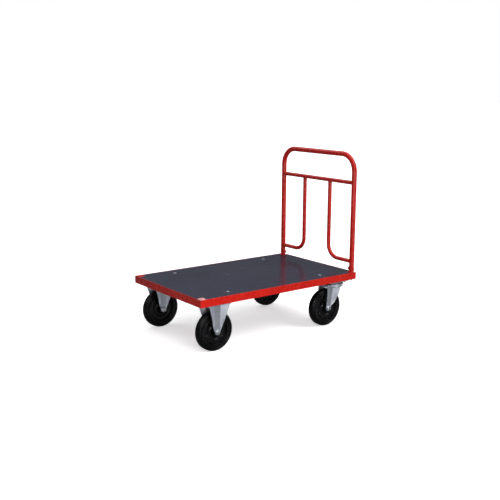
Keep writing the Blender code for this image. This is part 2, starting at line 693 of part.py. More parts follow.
def add_wheel(corner, x, side):
    """A tyre, a rim and a hub bush on an axle bolt with its nut."""
    place = (x, side * TRACK_Y, WHEEL_RADIUS)
    flat_down = (-side * pi / 2, pi / WHEEL_SEGMENTS, 0)
    turn(add_part("tyre_" + corner, turned("tyre", tyre_profile(), True), BLACK_RUBBER, place,
                  flat_down), WHEEL_SEGMENTS)
    turn(add_part("wheel_rim_" + corner, turned("rim", rim_profile(), True), BLACK_PLASTIC, place,
                  flat_down), WHEEL_SEGMENTS)
    bush_half = HUB_HALF_LENGTH - 2 * GAP
    bush = ring(AXLE_RADIUS + 2 * GAP, HUB_BORE_RADIUS - GAP, -bush_half, bush_half)
    turn(add_part("hub_bush_" + corner, turned("bush", bush, True), BRONZE, place, outward(side)),
         16)
    face = FORK_INSIDE + FORK_WALL + GAP
    length = 2 * (face + AXLE_NUT_DEPTH + AXLE_TAIL)
    bolt = add_part("axle_bolt_" + corner, cylinder("axle_bolt", AXLE_RADIUS - GAP, length), ZINC,
                    place, outward(side))
    head = cylinder("head", AXLE_HEX_RADIUS, AXLE_HEAD_HEIGHT, 6)
    head_y = side * (TRACK_Y + face + AXLE_HEAD_HEIGHT / 2)
    join(bolt, add_tool("axle_head_" + corner, head, (x, head_y, WHEEL_RADIUS), outward(side)))
    nut_place = (x, side * (TRACK_Y - face - AXLE_NUT_DEPTH / 2), WHEEL_RADIUS)
    nut = add_part("axle_nut_" + corner, cylinder("axle_nut", AXLE_HEX_RADIUS, AXLE_NUT_DEPTH, 6),
                   ZINC, nut_place, outward(side))
    cut(nut, add_tool("axle_nut_bore_" + corner, cylinder("bore", AXLE_RADIUS, 0.03), nut_place,
                      ALONG_Y))


def build():
    add_rails()
    add_cross_tubes()
    add_corner_boxes()
    add_deck_bolts(add_deck())
    handle_pivot = add_pivot("handle_pivot", (HANDLE_X, 0, PIVOT_Z))
    add_handle(handle_pivot)
    for word, side in SIDES.items():
        add_hinge_bracket(word, side)
        add_pivot_hardware(word, side, handle_pivot)
        add_slide_bolt(word, side)
        add_fixed_fork(word, side)
        add_swivel_plate(word, side)
        add_swivel_fork(word, side)
        add_wheel("front_" + word, FRONT_AXLE_X, side)
        add_wheel("rear_" + word, REAR_AXLE_X, side)


build()
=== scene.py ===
"""Looks of the folding platform cart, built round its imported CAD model.

Units are metres, in the CAD model's frame: X along the bed from the front (-X) to the handle
end (+X), Y from the left side (-Y) to the right side (+Y), Z up from the floor.
"""

import json
from math import asin, ceil, cos, pi, radians, sin, sqrt, tan

import bmesh
import bpy
from mathutils import Matrix, Vector


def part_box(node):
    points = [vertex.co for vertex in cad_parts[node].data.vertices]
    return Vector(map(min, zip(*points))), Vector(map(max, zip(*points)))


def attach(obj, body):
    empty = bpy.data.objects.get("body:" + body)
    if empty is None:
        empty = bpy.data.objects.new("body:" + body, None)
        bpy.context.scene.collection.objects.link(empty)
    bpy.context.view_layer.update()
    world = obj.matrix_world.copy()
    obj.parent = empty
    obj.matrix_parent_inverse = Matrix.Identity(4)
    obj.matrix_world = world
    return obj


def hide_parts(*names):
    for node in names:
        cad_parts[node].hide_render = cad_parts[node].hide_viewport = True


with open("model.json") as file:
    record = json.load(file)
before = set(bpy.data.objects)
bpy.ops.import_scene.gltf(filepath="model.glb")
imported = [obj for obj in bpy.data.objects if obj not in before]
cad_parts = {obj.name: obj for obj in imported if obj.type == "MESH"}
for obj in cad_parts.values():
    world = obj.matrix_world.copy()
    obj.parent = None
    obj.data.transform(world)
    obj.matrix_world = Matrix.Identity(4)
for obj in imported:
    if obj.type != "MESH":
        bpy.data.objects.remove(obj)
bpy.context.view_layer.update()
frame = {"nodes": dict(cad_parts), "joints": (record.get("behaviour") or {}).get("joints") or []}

SIDES = {"left": -1, "right": 1}
GAP = 0.0003  # air that the CAD model keeps between touching pieces


def centre(node):
    low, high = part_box(node)
    return (low + high) / 2


def size(node):
    low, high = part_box(node)
    return high - low


# Places and sizes read from the CAD model

RAIL_LOW, RAIL_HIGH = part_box("left_side_rail")
BED_HALF_LENGTH = RAIL_HIGH.x
BED_HALF_WIDTH = -RAIL_LOW.y
RAIL_BOTTOM, BED_TOP = RAIL_LOW.z, RAIL_HIGH.z
RAIL_HEIGHT = BED_TOP - RAIL_BOTTOM
RAIL_FLANGE = RAIL_HIGH.y - RAIL_LOW.y
DECK_LOW, DECK_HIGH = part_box("deck_board")
BRACKET_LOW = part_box("hinge_bracket_right")[0]
LOOP_LOW, LOOP_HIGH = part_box("handle_loop")
HANDLE_RADIUS = (LOOP_HIGH.x - LOOP_LOW.x) / 2
HANDLE_X = centre("handle_loop").x
HANDLE_Y = LOOP_HIGH.y - HANDLE_RADIUS
HANDLE_TOP = LOOP_HIGH.z - HANDLE_RADIUS
FOOT_Z = LOOP_LOW.z
CROSS_BAR_Z = centre("handle_cross_bar").z
BRACE_RADIUS = size("handle_cross_bar").z / 2
BRACE_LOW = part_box("handle_brace_right")[0]
BRACE_Y = BRACE_LOW.y + BRACE_RADIUS
BRACE_FOOT_Z = BRACE_LOW.z + BRACE_RADIUS
PIVOT_Z = centre("pivot_bush_left").z
TRACK_Y = centre("king_pin_right").y
SWIVEL_X = centre("king_pin_right").x
FRONT_AXLE = centre("hub_bush_front_right")
REAR_AXLE = centre("hub_bush_rear_right")
AXLE_Z = FRONT_AXLE.z
PLATE_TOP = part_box("fixed_fork_right")[1].z

# Sizes of details that a node's box doesn't give

RAIL_WALL = 0.004
CROSS_WALL = 0.003
TUBE_WALL = 0.002
HANDLE_BEND = 0.092
BRACE_BEND = 0.070
SLOT_WIDTH = 0.009
SLOT_TOP = PIVOT_Z + 0.014
PIVOT_RADIUS, PIVOT_HOLE_RADIUS = 0.0049, 0.0055
NUT_HALF_FLATS = 0.0065     # of the deck, caster plate and bracket bolts
SHANK_RADIUS, THREAD_RADIUS = 0.0038, 0.004
DECK_BOLT_HEAD = 0.004
PLATE_SIZE = (0.140, 0.110, 0.004)
PLATE_BOLT_X, PLATE_BOLT_Y = 0.0525, 0.038
PLATE_BOTTOM = PLATE_TOP - PLATE_SIZE[2]
FLANGE_TOP = RAIL_BOTTOM + RAIL_WALL
FORK_WALL = 0.0035
FORK_INSIDE = 0.030
FORK_FACE = FORK_INSIDE + FORK_WALL + GAP
CROWN_RADIUS = 0.058
CROWN_BOTTOM, CROWN_TOP = 0.2225, 0.2265
SKIRT_BOTTOM, SKIRT_WALL = 0.2115, 0.003
RACE_MEETING = 0.2300       # height where the upper and lower races meet
BEAD_RADIUS = 0.0022
WELD_PITCH = 0.0035         # distance between two ripples of a weld bead
CORNER_WELD_RADIUS, CORNER_WELD_IN = 0.0011, 0.0007
COPE_DEPTH = 0.0003         # how far a coped tube end runs into the tube it meets
CUT_BEYOND = 0.01           # how far a cutting tool reaches past the metal


# Mesh tools

def mesh_of(name, shape):
    """A mesh made from a bmesh, which is used up."""
    mesh = bpy.data.meshes.new(name)
    shape.to_mesh(mesh)
    shape.free()
    return mesh


def in_scene(name, data):
    """A new object of this mesh, light or camera, linked to the scene."""
    thing = bpy.data.objects.new(name, data)
    bpy.context.scene.collection.objects.link(thing)
    return thing


def modify(thing, kind, **settings):
    """Add a modifier of this kind with these settings."""
    modifier = thing.modifiers.new(kind.lower(), kind)
    for name, setting in settings.items():
        setattr(modifier, name, setting)


def finished(name, shape, angle=35):
    """The mesh of a bmesh, shaded smooth except along edges sharper than the angle."""
    bmesh.ops.recalc_face_normals(shape, faces=shape.faces)
    mesh = mesh_of(name, shape)
    mesh.shade_smooth()
    mesh.set_sharp_from_angle(angle=radians(angle))
    return mesh


def skin(shape, rings, around=True, along=False, capped=False):
    """Quads between neighbouring rings of points, joined around and, if asked, end to start.

    The first and last rings can be filled as caps.
    """
    made = [[shape.verts.new(point) for point in ring] for ring in rings]
    for first, second in zip(made, made[1:] + (made[:1] if along else [])):
        count = len(first)
        for i in range(count if around else count - 1):
            j = (i + 1) % count
            shape.faces.new((first[i], first[j], second[j], second[i]))
    if capped:
        shape.faces.new(made[0])
        shape.faces.new(made[-1])
    return made


def round_angles(count):
    """Angles evenly spaced round a circle."""
    return [2 * pi * step / count for step in range(count)]


def circle_rings(path, radius, sides, closed=False):
    """Circles of points across a path that don't twist. The radius is a number or a list."""
    rings = []
    normal = None
    count = len(path)
    for i, point in enumerate(path):
        ahead = path[(i + 1) % count] if closed or i + 1 < count else point
        behind = path[i - 1] if closed or i > 0 else point
        tangent = (ahead - behind).normalized()
        if normal is None:
            normal = tangent.orthogonal()
        normal = (normal - tangent * normal.dot(tangent)).normalized()
        across = tangent.cross(normal)
        reach = radius[i] if isinstance(radius, list) else radius
        rings.append([point + (normal * cos(a) + across * sin(a)) * reach
                      for a in round_angles(sides)])
    return rings


def corner_arc(before, corner, after, radius, steps):
    """Points along the arc of this radius that rounds off a corner between two others."""
    back = (before - corner).normalized()
    ahead = (after - corner).normalized()
    half = back.angle(ahead) / 2
    middle = corner + (back + ahead).normalized() * (radius / sin(half))
    start = corner + back * (radius / tan(half)) - middle
    end = corner + ahead * (radius / tan(half)) - middle
    sweep = start.angle(end)
    points = []
    for step in range(steps + 1):
        share = step / steps
        spoke = start * sin((1 - share) * sweep) + end * sin(share * sweep)
        points.append(middle + spoke / sin(sweep))
    return points


def rounded_path(corners, bend, steps=14):
    """Points through the corners, with an arc of the bend radius at each inner corner."""
    corners = [Vector(corner) for corner in corners]
    points = [corners[0]]
    for before, corner, after in zip(corners, corners[1:], corners[2:]):
        points += corner_arc(before, corner, after, bend, steps)
    return points + [corners[-1]]


def rounded(corners, steps=4):
    """A closed outline through (x, y, radius) corners, each one rounded by its own radius."""
    places = [Vector(corner[:2]) for corner in corners]
    outline = []
    for i, (x, y, radius) in enumerate(corners):
        if radius:
            after = places[(i + 1) % len(places)]
            outline += [tuple(point) for point in
                        corner_arc(places[i - 1], places[i], after, radius, steps)]
        else:
            outline.append((x, y))
    return outline


def rounded_rectangle(half_x, half_y, radius, steps=5):
    corners = [(-half_x, -half_y), (half_x, -half_y), (half_x, half_y), (-half_x, half_y)]
    return rounded([(x, y, radius) for x, y in corners], steps=steps)


def prism(shape, outline, low, high):
    """The outline in XY, filled and drawn out between two heights."""
    skin(shape, [[(x, y, z) for x, y in outline] for z in (low, high)], capped=True)


def turned(shape, profile, segments=48):
    """A closed (radius, height) profile revolved about Z."""
    rings = [[(r * cos(a), r * sin(a), z) for r, z in profile] for a in round_angles(segments)]
    made = skin(shape, rings, along=True)
    bmesh.ops.remove_doubles(shape, verts=[v for ring in made for v in ring], dist=1e-7)


def collar(shape, radii, heights, fillets=(0, 0, 0, 0), segments=48):
    """A shank, washer or ring about Z.

    Its section is a rectangle, with a fillet for each corner: inner low, outer low, outer
    high, inner high.
    """
    inner, outer = radii
    low, high = heights
    corners = ((inner, low), (outer, low), (outer, high), (inner, high))
    turned(shape, rounded([(*corner, fillet) for corner, fillet in zip(corners, fillets)]),
           segments)


def hexagon(shape, flats, low, high, chamfered=("high",), segments=48):
    """A hexagonal head or nut about Z, with a cone turned off its named ends.

    flats is the distance from the middle to each flat.
    """
    land = 0.94 * flats  # radius of the flat that the chamfer leaves
    slope = tan(radians(30))

    def ring(height, direction):
        points = []
        for angle in round_angles(segments):
            reach = flats / cos((angle + pi / 6) % (pi / 3) - pi / 6)
            fall = (reach - land) * slope if direction else 0
            points.append((reach * cos(angle), reach * sin(angle), height - direction * fall))
        return points

    def disc(height):
        return [(land * cos(a), land * sin(a), height) for a in round_angles(segments)]

    rings = [ring(low, -1 if "low" in chamfered else 0),
             ring(high, 1 if "high" in chamfered else 0)]
    if "low" in chamfered:
        rings.insert(0, disc(low))
    if "high" in chamfered:
        rings.append(disc(high))
    skin(shape, rings, capped=True)


def threaded(shape, radius, low, high, pitch, segments=24):
    """A threaded shank, its ridges drawn as rings."""
    turns = max(2, round((high - low) / pitch))
    step = (high - low) / turns
    depth = pitch * 0.45
    profile = [(0, low), (radius - depth, low)]
    for turn in range(turns):
        start = low + turn * step
        profile += [(radius - depth, start + step * 0.15), (radius, start + step * 0.5),
                    (radius - depth, start + step * 0.85)]
    profile += [(radius - depth, high), (0, high)]
    turned(shape, profile, segments)


def dome(radius, height, base, steps=8):
    """Profile points over a domed head, from its top to its rim."""
    turns = [step * pi / 2 / steps for step in range(steps + 1)]
    return [(radius * sin(turn), base + height * cos(turn)) for turn in turns]


def bead(shape, path, radius=BEAD_RADIUS, closed=False):
    """A weld bead along a path, rippled as the torch leaves it."""
    ripples = []
    travelled = 0.0
    for before, point in zip([path[0]] + path, path):
        travelled += (point - before).length
        ripples.append(radius * (0.94 + 0.10 * sin(2 * pi * travelled / WELD_PITCH)))
    if not closed:
        ripples[0] = ripples[-1] = radius * 0.3
    skin(shape, circle_rings(path, ripples, 10, closed), along=closed, capped=not closed)


def round_ended(shape, path, radius, sides=24, steps=6):
    """A bent round bar with a half ball at each end."""
    rings = circle_rings(path, radius, sides)
    turns = [step * pi / 2 / (steps + 0.3) for step in range(1, steps + 1)]

    def cap(ring, middle, outward):
        outward = outward.normalized() * radius
        return [[middle + (point - middle) * cos(turn) + outward * sin(turn) for point in ring]
                for turn in turns]

    start = cap(rings[0], path[0], path[0] - path[1])
    end = cap(rings[-1], path[-1], path[-1] - path[-2])
    skin(shape, start[::-1] + rings + end, capped=True)


def evenly(path, spacing=WELD_PITCH / 5, closed=False):
    """The path again, with points at an even spacing."""
    points = []
    for start, end in zip(path, path[1:] + (path[:1] if closed else [])):
        parts = max(1, ceil((end - start).length / spacing))
        points += [start.lerp(end, part / parts) for part in range(parts)]
    return points if closed else points + [path[-1]]


def soften(shape, width, segments=2, angle=40):
    """Round off every edge sharper than the angle, and mark the new faces as worn."""
    bmesh.ops.recalc_face_normals(shape, faces=shape.faces)
    wear = shape.faces.layers.float.get("wear") or shape.faces.layers.float.new("wear")
    sharp = [edge for edge in shape.edges
             if len(edge.link_faces) == 2 and edge.calc_face_angle(0) > radians(angle)]
    made = bmesh.ops.bevel(shape, geom=sharp, offset=width, offset_type="OFFSET", profile=0.5,
                           segments=segments, affect="EDGES", clamp_overlap=True)
    for face in made["faces"]:
        face[wear] = 1.0


def stamp(shape, part, places):
    """Add a copy of a small bmesh at each place."""
    mesh = mesh_of("stamp", part)
    for matrix in places:
        copy = mesh.copy()
        copy.transform(matrix)
        shape.from_mesh(copy)
        bpy.data.meshes.remove(copy)
    bpy.data.meshes.remove(mesh)


def carved(name, shape, *tools):
    """The bmesh with the other bmeshes cut out of it, as a new bmesh."""
    holders = []
    for part in (shape, *tools):
        bmesh.ops.recalc_face_normals(part, faces=part.faces)
        holders.append(in_scene(name, mesh_of(name, part)))
    for tool in holders[1:]:
        modify(holders[0], "BOOLEAN", operation="DIFFERENCE", solver="EXACT", object=tool)
    graph = bpy.context.evaluated_depsgraph_get()
    result = bmesh.new()
    result.from_mesh(bpy.data.meshes.new_from_object(holders[0].evaluated_get(graph)))
    for holder in holders:
        bpy.data.objects.remove(holder)
    bmesh.ops.remove_doubles(result, verts=result.verts, dist=1e-6)
    bmesh.ops.dissolve_degenerate(result, edges=result.edges, dist=1e-6)
    return result


def rod(low, high, radius, segments=32):
    """A bmesh cylinder between two points, used to cut a round hole."""
    shape = bmesh.new()
    skin(shape, circle_rings([Vector(low), Vector(high)], radius, segments), capped=True)
    return shape


def facing_out(x, y, z, side):
    """A place on this side of the cart, with Z turned to point outwards."""
    return Matrix.Translation((x, side * y, z)) @ Matrix.Rotation(-side * pi / 2, 4, "X")


# Materials

def node(tree, kind, values=(), **settings):
    """A shader node. values maps an input's name or number to a value or another node's output."""
    made = tree.nodes.new("ShaderNode" + kind)
    for name, setting in settings.items():
        setattr(made, name, setting)
    for key, value in dict(values).items():
        if isinstance(value, bpy.types.NodeSocket):
            tree.links.new(value, made.inputs[key])
        else:
            made.inputs[key].default_value = value
    return made


def place(tree, stretch=(1, 1, 1)):
    """Coordinates on the piece in metres, squeezed along each axis by stretch."""
    coordinates = node(tree, "TexCoord").outputs["Object"]
    return node(tree, "Mapping", {"Vector": coordinates, "Scale": stretch}).outputs["Vector"]


def noise(tree, coordinates, scale, detail=3.0, roughness=0.55):
    return node(tree, "TexNoise", {"Vector": coordinates, "Scale": scale, "Detail": detail,
                                   "Roughness": roughness}).outputs[0]


def ramp(tree, value, start, end, low=0.0, high=1.0):
    """The value's range start to end, moved to low to high and held there beyond it."""
    return node(tree, "MapRange", {0: value, 1: start, 2: end, 3: low, 4: high}).outputs[0]


def math(tree, operation, first, second):
    return node(tree, "Math", {0: first, 1: second}, operation=operation).outputs[0]


def mixed(tree, share, first, second):
    """One colour laid over another by the share."""
    colors = {0: share, 6: (*first, 1) if isinstance(first, tuple) else first,
              7: (*second, 1) if isinstance(second, tuple) else second}
    return node(tree, "Mix", colors, data_type="RGBA").outputs[2]


def bumped(tree, height, distance, strength=1.0, below=None):
    """A bump of this height in metres, over another one if given."""
    values = {"Height": height, "Distance": distance, "Strength": strength}
    if below is not None:
        values["Normal"] = below
    return node(tree, "Bump", values).outputs["Normal"]


def finish(name, metallic=0.0, **constants):
    """A new material, its node tree, and a function that links outputs to its shader."""
    material = bpy.data.materials.new(name)
    material.use_nodes = True
    tree = material.node_tree
    shader = tree.nodes["Principled BSDF"]
    shader.inputs["Metallic"].default_value = metallic
    for words, value in constants.items():
        shader.inputs[words.replace("_", " ").title().replace("Ior", "IOR")].default_value = value

    def link(**sockets):
        for words, socket in sockets.items():
            tree.links.new(socket, shader.inputs[words.replace("_", " ").title()])

    return material, tree, link


def red_paint(name, painted_glare=0.0, dulled_above=None):
    """Glossy powder coat: orange peel, slow changes of tone, and chips on worn edges.

    It can carry a painted highlight (pale pink patches that stand in for the glare of light on a
    glossy top), or be dulled above a height by the loads slid over it.
    """
    material, tree, link = finish(name, coat_weight=0.12, coat_roughness=0.15,
                                  specular_ior_level=0.35)
    here = place(tree)
    tone = mixed(tree, ramp(tree, noise(tree, here, 9), 0.35, 0.65), (0.58, 0.008, 0.003),
                 (0.68, 0.014, 0.005))
    grime = ramp(tree, noise(tree, here, 26, 6), 0.56, 0.80, 0.0, 0.35)
    tone = mixed(tree, grime, tone, (0.26, 0.010, 0.008))
    # Pale pink patches: a painted highlight, standing in for the glare of light on the paint, not
    # real wear.
    if painted_glare:
        patches = ramp(tree, noise(tree, here, 70, 5), 0.36, 0.52, 0.0, painted_glare)
        tone = mixed(tree, patches, tone, (0.86, 0.52, 0.48))
    if dulled_above:
        height = node(tree, "SeparateXYZ", {0: here}).outputs["Z"]
        top = ramp(tree, height, dulled_above, dulled_above + 0.0003)
        patches = ramp(tree, noise(tree, here, 60, 5), 0.30, 0.62, 0.95, 0.55)
        tone = mixed(tree, math(tree, "MULTIPLY", top, patches), tone, (0.085, 0.035, 0.042))
    wear = node(tree, "Attribute", attribute_name="wear").outputs["Fac"]
    chips = math(tree, "MULTIPLY", wear, ramp(tree, noise(tree, here, 210, 5), 0.64, 0.68))
    link(base_color=mixed(tree, chips, tone, (0.20, 0.17, 0.16)))
    satin = ramp(tree, noise(tree, here, 45, 4), 0.3, 0.7, 0.20, 0.34)
    link(roughness=math(tree, "ADD", satin, math(tree, "MULTIPLY", chips, 0.3)))
    peel = bumped(tree, noise(tree, here, 420, 2), 0.00012, 0.6)
    link(normal=bumped(tree, chips, -0.00008, 0.8, peel))
    return material


def deck_film():
    """Dark phenolic film on plywood: the grain shows through faintly, with rubbed marks."""
    material, tree, link = finish("deck_film", specular_ior_level=0.5)
    here = place(tree)
    tone = mixed(tree, ramp(tree, noise(tree, here, 3.5, 4), 0.35, 0.65), (0.018, 0.020, 0.040),
                 (0.027, 0.029, 0.054))
    marks = ramp(tree, noise(tree, place(tree, (0.4, 9, 1)), 22, 5, 0.7), 0.60, 0.72)
    specks = ramp(tree, noise(tree, here, 320, 2), 0.70, 0.76)
    tone = mixed(tree, math(tree, "MULTIPLY", marks, 0.30), tone, (0.065, 0.067, 0.085))
    link(base_color=mixed(tree, math(tree, "MULTIPLY", specks, 0.5), tone, (0.12, 0.12, 0.14)))
    gloss = ramp(tree, noise(tree, here, 14, 5), 0.3, 0.7, 0.17, 0.27)
    link(roughness=math(tree, "ADD", gloss, math(tree, "MULTIPLY", marks, 0.12)))
    grain = bumped(tree, noise(tree, place(tree, (0.5, 14, 1)), 18, 4), 0.0004, 0.25)
    link(normal=bumped(tree, noise(tree, here, 700, 2), 0.00006, 0.5, grain))
    return material


def plywood_edge():
    """The board's cut edge: eleven plies, alternately along and across the grain."""
    material, tree, link = finish("plywood_edge")
    height = node(tree, "SeparateXYZ", {0: place(tree)}).outputs["Z"]
    ply = (DECK_HIGH.z - DECK_LOW.z) / 11 * 2
    band = math(tree, "PINGPONG", height, ply / 2)
    bands = ramp(tree, band, ply * 0.2, ply * 0.3)
    fibres = ramp(tree, noise(tree, place(tree, (1, 1, 6)), 240, 4), 0.3, 0.7, 0.0, 0.5)
    wood = mixed(tree, bands, (0.22, 0.12, 0.055), (0.46, 0.30, 0.16))
    link(base_color=mixed(tree, fibres, wood, (0.16, 0.085, 0.04)))
    link(roughness=ramp(tree, fibres, 0, 0.5, 0.62, 0.8))
    link(normal=bumped(tree, bands, 0.0002, 0.5))
    return material


def zinc(name, light, dark, gloss):
    """Zinc-plated steel: a fine crystalline mottle, with duller patches."""
    material, tree, link = finish(name, metallic=1.0)
    here = place(tree)
    crystals = node(tree, "TexVoronoi", {"Vector": here, "Scale": 260}).outputs["Color"]
    share = node(tree, "SeparateColor", {0: crystals}).outputs[0]
    dull = ramp(tree, noise(tree, here, 60, 5), 0.40, 0.72)
    tone = mixed(tree, math(tree, "MULTIPLY", share, 0.35), light, dark)
    link(base_color=mixed(tree, math(tree, "MULTIPLY", dull, 0.5), tone, dark))
    link(roughness=ramp(tree, dull, 0, 1, gloss, gloss + 0.16))
    link(normal=bumped(tree, noise(tree, here, 500, 3), 0.00005, 0.5))
    return material


def pressed_zinc():
    """The forks' zinc-plated sheet: drawn marks run down it from the press."""
    material, tree, link = finish("pressed_zinc", metallic=0.92)
    here = place(tree)
    drawn = noise(tree, place(tree, (9, 9, 0.6)), 28, 4)
    dull = ramp(tree, noise(tree, here, 34, 5), 0.38, 0.70)
    tone = mixed(tree, ramp(tree, drawn, 0.3, 0.7), (0.50, 0.52, 0.58), (0.66, 0.68, 0.74))
    link(base_color=mixed(tree, math(tree, "MULTIPLY", dull, 0.45), tone, (0.40, 0.42, 0.46)))
    gloss = ramp(tree, drawn, 0.3, 0.7, 0.30, 0.40)
    link(roughness=math(tree, "ADD", gloss, math(tree, "MULTIPLY", dull, 0.08)))
    marks = bumped(tree, drawn, 0.00010, 0.35)
    link(normal=bumped(tree, noise(tree, here, 480, 3), 0.00005, 0.5, marks))
    return material


def blotched(name, blotches, edges, colors, gloss, grain, gloss_noise=None, **constants):
    """A fine-grained finish of one colour, with blotches of another over it.

    The gloss follows the blotches, or a noise of its own.
    """
    material, tree, link = finish(name, **constants)
    here = place(tree)
    share = ramp(tree, noise(tree, here, *blotches), *edges)
    link(base_color=mixed(tree, share, *colors))
    if gloss_noise:
        link(roughness=ramp(tree, noise(tree, here, *gloss_noise), 0.3, 0.7, *gloss))
    else:
        link(roughness=ramp(tree, share, 0, 1, *gloss))
    scale, detail, depth, strength = grain
    link(normal=bumped(tree, noise(tree, here, scale, detail), depth, strength))
    return material


RED = red_paint("red_powder_coat")
# Powder coat with a painted highlight: pale patches that stand in for glare, used on the near front
# corner box.
GLARE_PAINTED_RED = red_paint("glare_painted_powder_coat", painted_glare=0.85)
RAIL_RED = red_paint("rail_powder_coat", dulled_above=BED_TOP - 0.0006)
FILM = deck_film()
PLY = plywood_edge()
ZINC = zinc("zinc_plate", (0.74, 0.75, 0.78), (0.50, 0.52, 0.56), 0.24)
DULL_ZINC = zinc("weathered_zinc", (0.30, 0.32, 0.36), (0.17, 0.18, 0.21), 0.40)
PRESSED = pressed_zinc()
# Solid black rubber, a little dusty
RUBBER = blotched("tyre_rubber", (55, 6, 0.65), (0.56, 0.86, 0.0, 0.16),
                  ((0.0008, 0.0008, 0.0010), (0.020, 0.019, 0.018)), (0.24, 0.36),
                  (1100, 2, 0.00006, 0.5), (120, 4), specular_ior_level=0.18)
# The wheel centres' hazed black enamel
ENAMEL = blotched("black_enamel", (40, 5), (0.40, 0.75),
                  ((0.0012, 0.0012, 0.0015), (0.005, 0.005, 0.006)), (0.24, 0.40),
                  (600, 2, 0.00008, 0.5), specular_ior_level=0.25)
# Blackened bolts and nuts, rubbed to bare metal in places
DARK = blotched("blackened_steel", (300, 4), (0.60, 0.72),
                ((0.030, 0.030, 0.033), (0.16, 0.16, 0.17)), (0.32, 0.50),
                (700, 3, 0.00006, 0.6), (150, 4), metallic=0.85)
# Sintered bronze, darker where its oil stands
BRONZE = blotched("sintered_bronze", (180, 5), (0.40, 0.65),
                  ((0.48, 0.31, 0.14), (0.24, 0.14, 0.06)), (0.48, 0.28),
                  (900, 2, 0.0001, 0.6), metallic=0.9)


def add_piece(name, shape, material, body, nodes=(), place_at=None, even=False):
    """Put a bmesh or mesh in the scene on its CAD body, in place of the CAD nodes it stands for."""
    mesh = finished(name, shape) if isinstance(shape, bmesh.types.BMesh) else shape
    if place_at is not None:
        mesh.transform(place_at)
    piece = in_scene(name, mesh)
    mesh.materials.append(material)
    if even:
        modify(piece, "WEIGHTED_NORMAL", keep_sharp=True)
    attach(piece, body)
    if nodes:
        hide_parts(*nodes)
    return piece


# Frame and deck

def rail(start, along, inward, length, mitres):
    """An angle-steel rail from its outer bottom corner, with mitred (1) or square (0) ends."""
    section = rounded([(0, 0, 0.0014), (RAIL_FLANGE, 0, 0.0008), (RAIL_FLANGE, RAIL_WALL, 0.0018),
                       (RAIL_WALL, RAIL_WALL, 0.0035), (RAIL_WALL, RAIL_HEIGHT, 0.0010),
                       (0, RAIL_HEIGHT, 0.0010)])
    start, along, inward = Vector(start), Vector(along), Vector(inward)
    first, last = mitres
    rings = []
    for reach, slide in ((0, first), (length, -last)):
        rings.append([start + along * (reach + slide * x) + inward * x + Vector((0, 0, y))
                      for x, y in section])
    shape = bmesh.new()
    skin(shape, rings, capped=True)
    return shape


def add_rails():
    """The four rails round the bed, mitred at the front corners."""
    long, wide = BED_HALF_LENGTH, BED_HALF_WIDTH
    for word, side in SIDES.items():
        shape = rail((-long, side * wide, RAIL_BOTTOM), (1, 0, 0), (0, -side, 0), 2 * long, (1, 0))
        soften(shape, 0.0006, angle=60)
        add_piece(f"side_rail_{word}", shape, RAIL_RED, "cart_frame", [f"{word}_side_rail"],
                  even=True)
    shape = rail((-long, -wide, RAIL_BOTTOM), (0, 1, 0), (1, 0, 0), 2 * wide, (1, 1))
    soften(shape, 0.0006, angle=60)
    add_piece("front_end_rail", shape, RAIL_RED, "cart_frame", ["front_rail"], even=True)
    low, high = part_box("rear_rail")
    shape = rail((long, low.y, RAIL_BOTTOM), (0, 1, 0), (-1, 0, 0), high.y - low.y, (0, 0))
    add_piece("rear_end_rail", carved("rear", shape, *lock_arm_slots()), RAIL_RED, "cart_frame",
              ["rear_rail"])


def lock_arm_slots():
    """The slots that the slide bolts' arms travel along, as tools that cut the rear rail."""
    slots = []
    for word, side in SIDES.items():
        bolt_low, bolt_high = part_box(f"slide_bolt_{word}")
        travel = next(joint["range_m"][1] for joint in frame["joints"]
                      if joint["name"] == f"slide_bolt_{word}_travel")
        inner = bolt_low.y if side > 0 else bolt_high.y
        width = bolt_high.x - bolt_low.x
        middle = inner + side * (width + travel) / 2
        outline = rounded_rectangle(width / 2 + 2 * GAP, (width + travel) / 2 + 2 * GAP,
                                    width / 2 + GAP, 8)
        slot = bmesh.new()
        prism(slot, [(x + HANDLE_X, y + middle) for x, y in outline],
              RAIL_BOTTOM - CUT_BEYOND, FLANGE_TOP + CUT_BEYOND)
        slots.append(slot)
    return slots


def add_cross_tubes():
    """Rectangular tubes with rounded corners, open at their ends, and the welds at those ends."""
    welds = bmesh.new()
    for number in range(1, 6):
        low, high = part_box(f"cross_tube_{number}")
        middle, half = (low + high) / 2, (high - low) / 2
        outer = rounded_rectangle(half.x, half.z, 0.004)
        inner = rounded_rectangle(half.x - CROSS_WALL, half.z - CROSS_WALL, 0.0015)
        rings = [[middle + Vector((x, end, z)) for x, z in outline]
                 for outline, end in ((outer, low.y), (outer, high.y), (inner, high.y),
                                      (inner, low.y))]
        shape = bmesh.new()
        skin(shape, rings, along=True)
        add_piece(f"bed_tube_{number}", shape, RED, "cart_frame",
                  [f"cross_tube_{number}"])
        for end in (low.y, high.y):
            path = [Vector((low.x, end, low.z)), Vector((high.x, end, low.z))]
            bead(welds, evenly(path))
    add_piece("bed_tube_welds", welds, RED, "cart_frame")


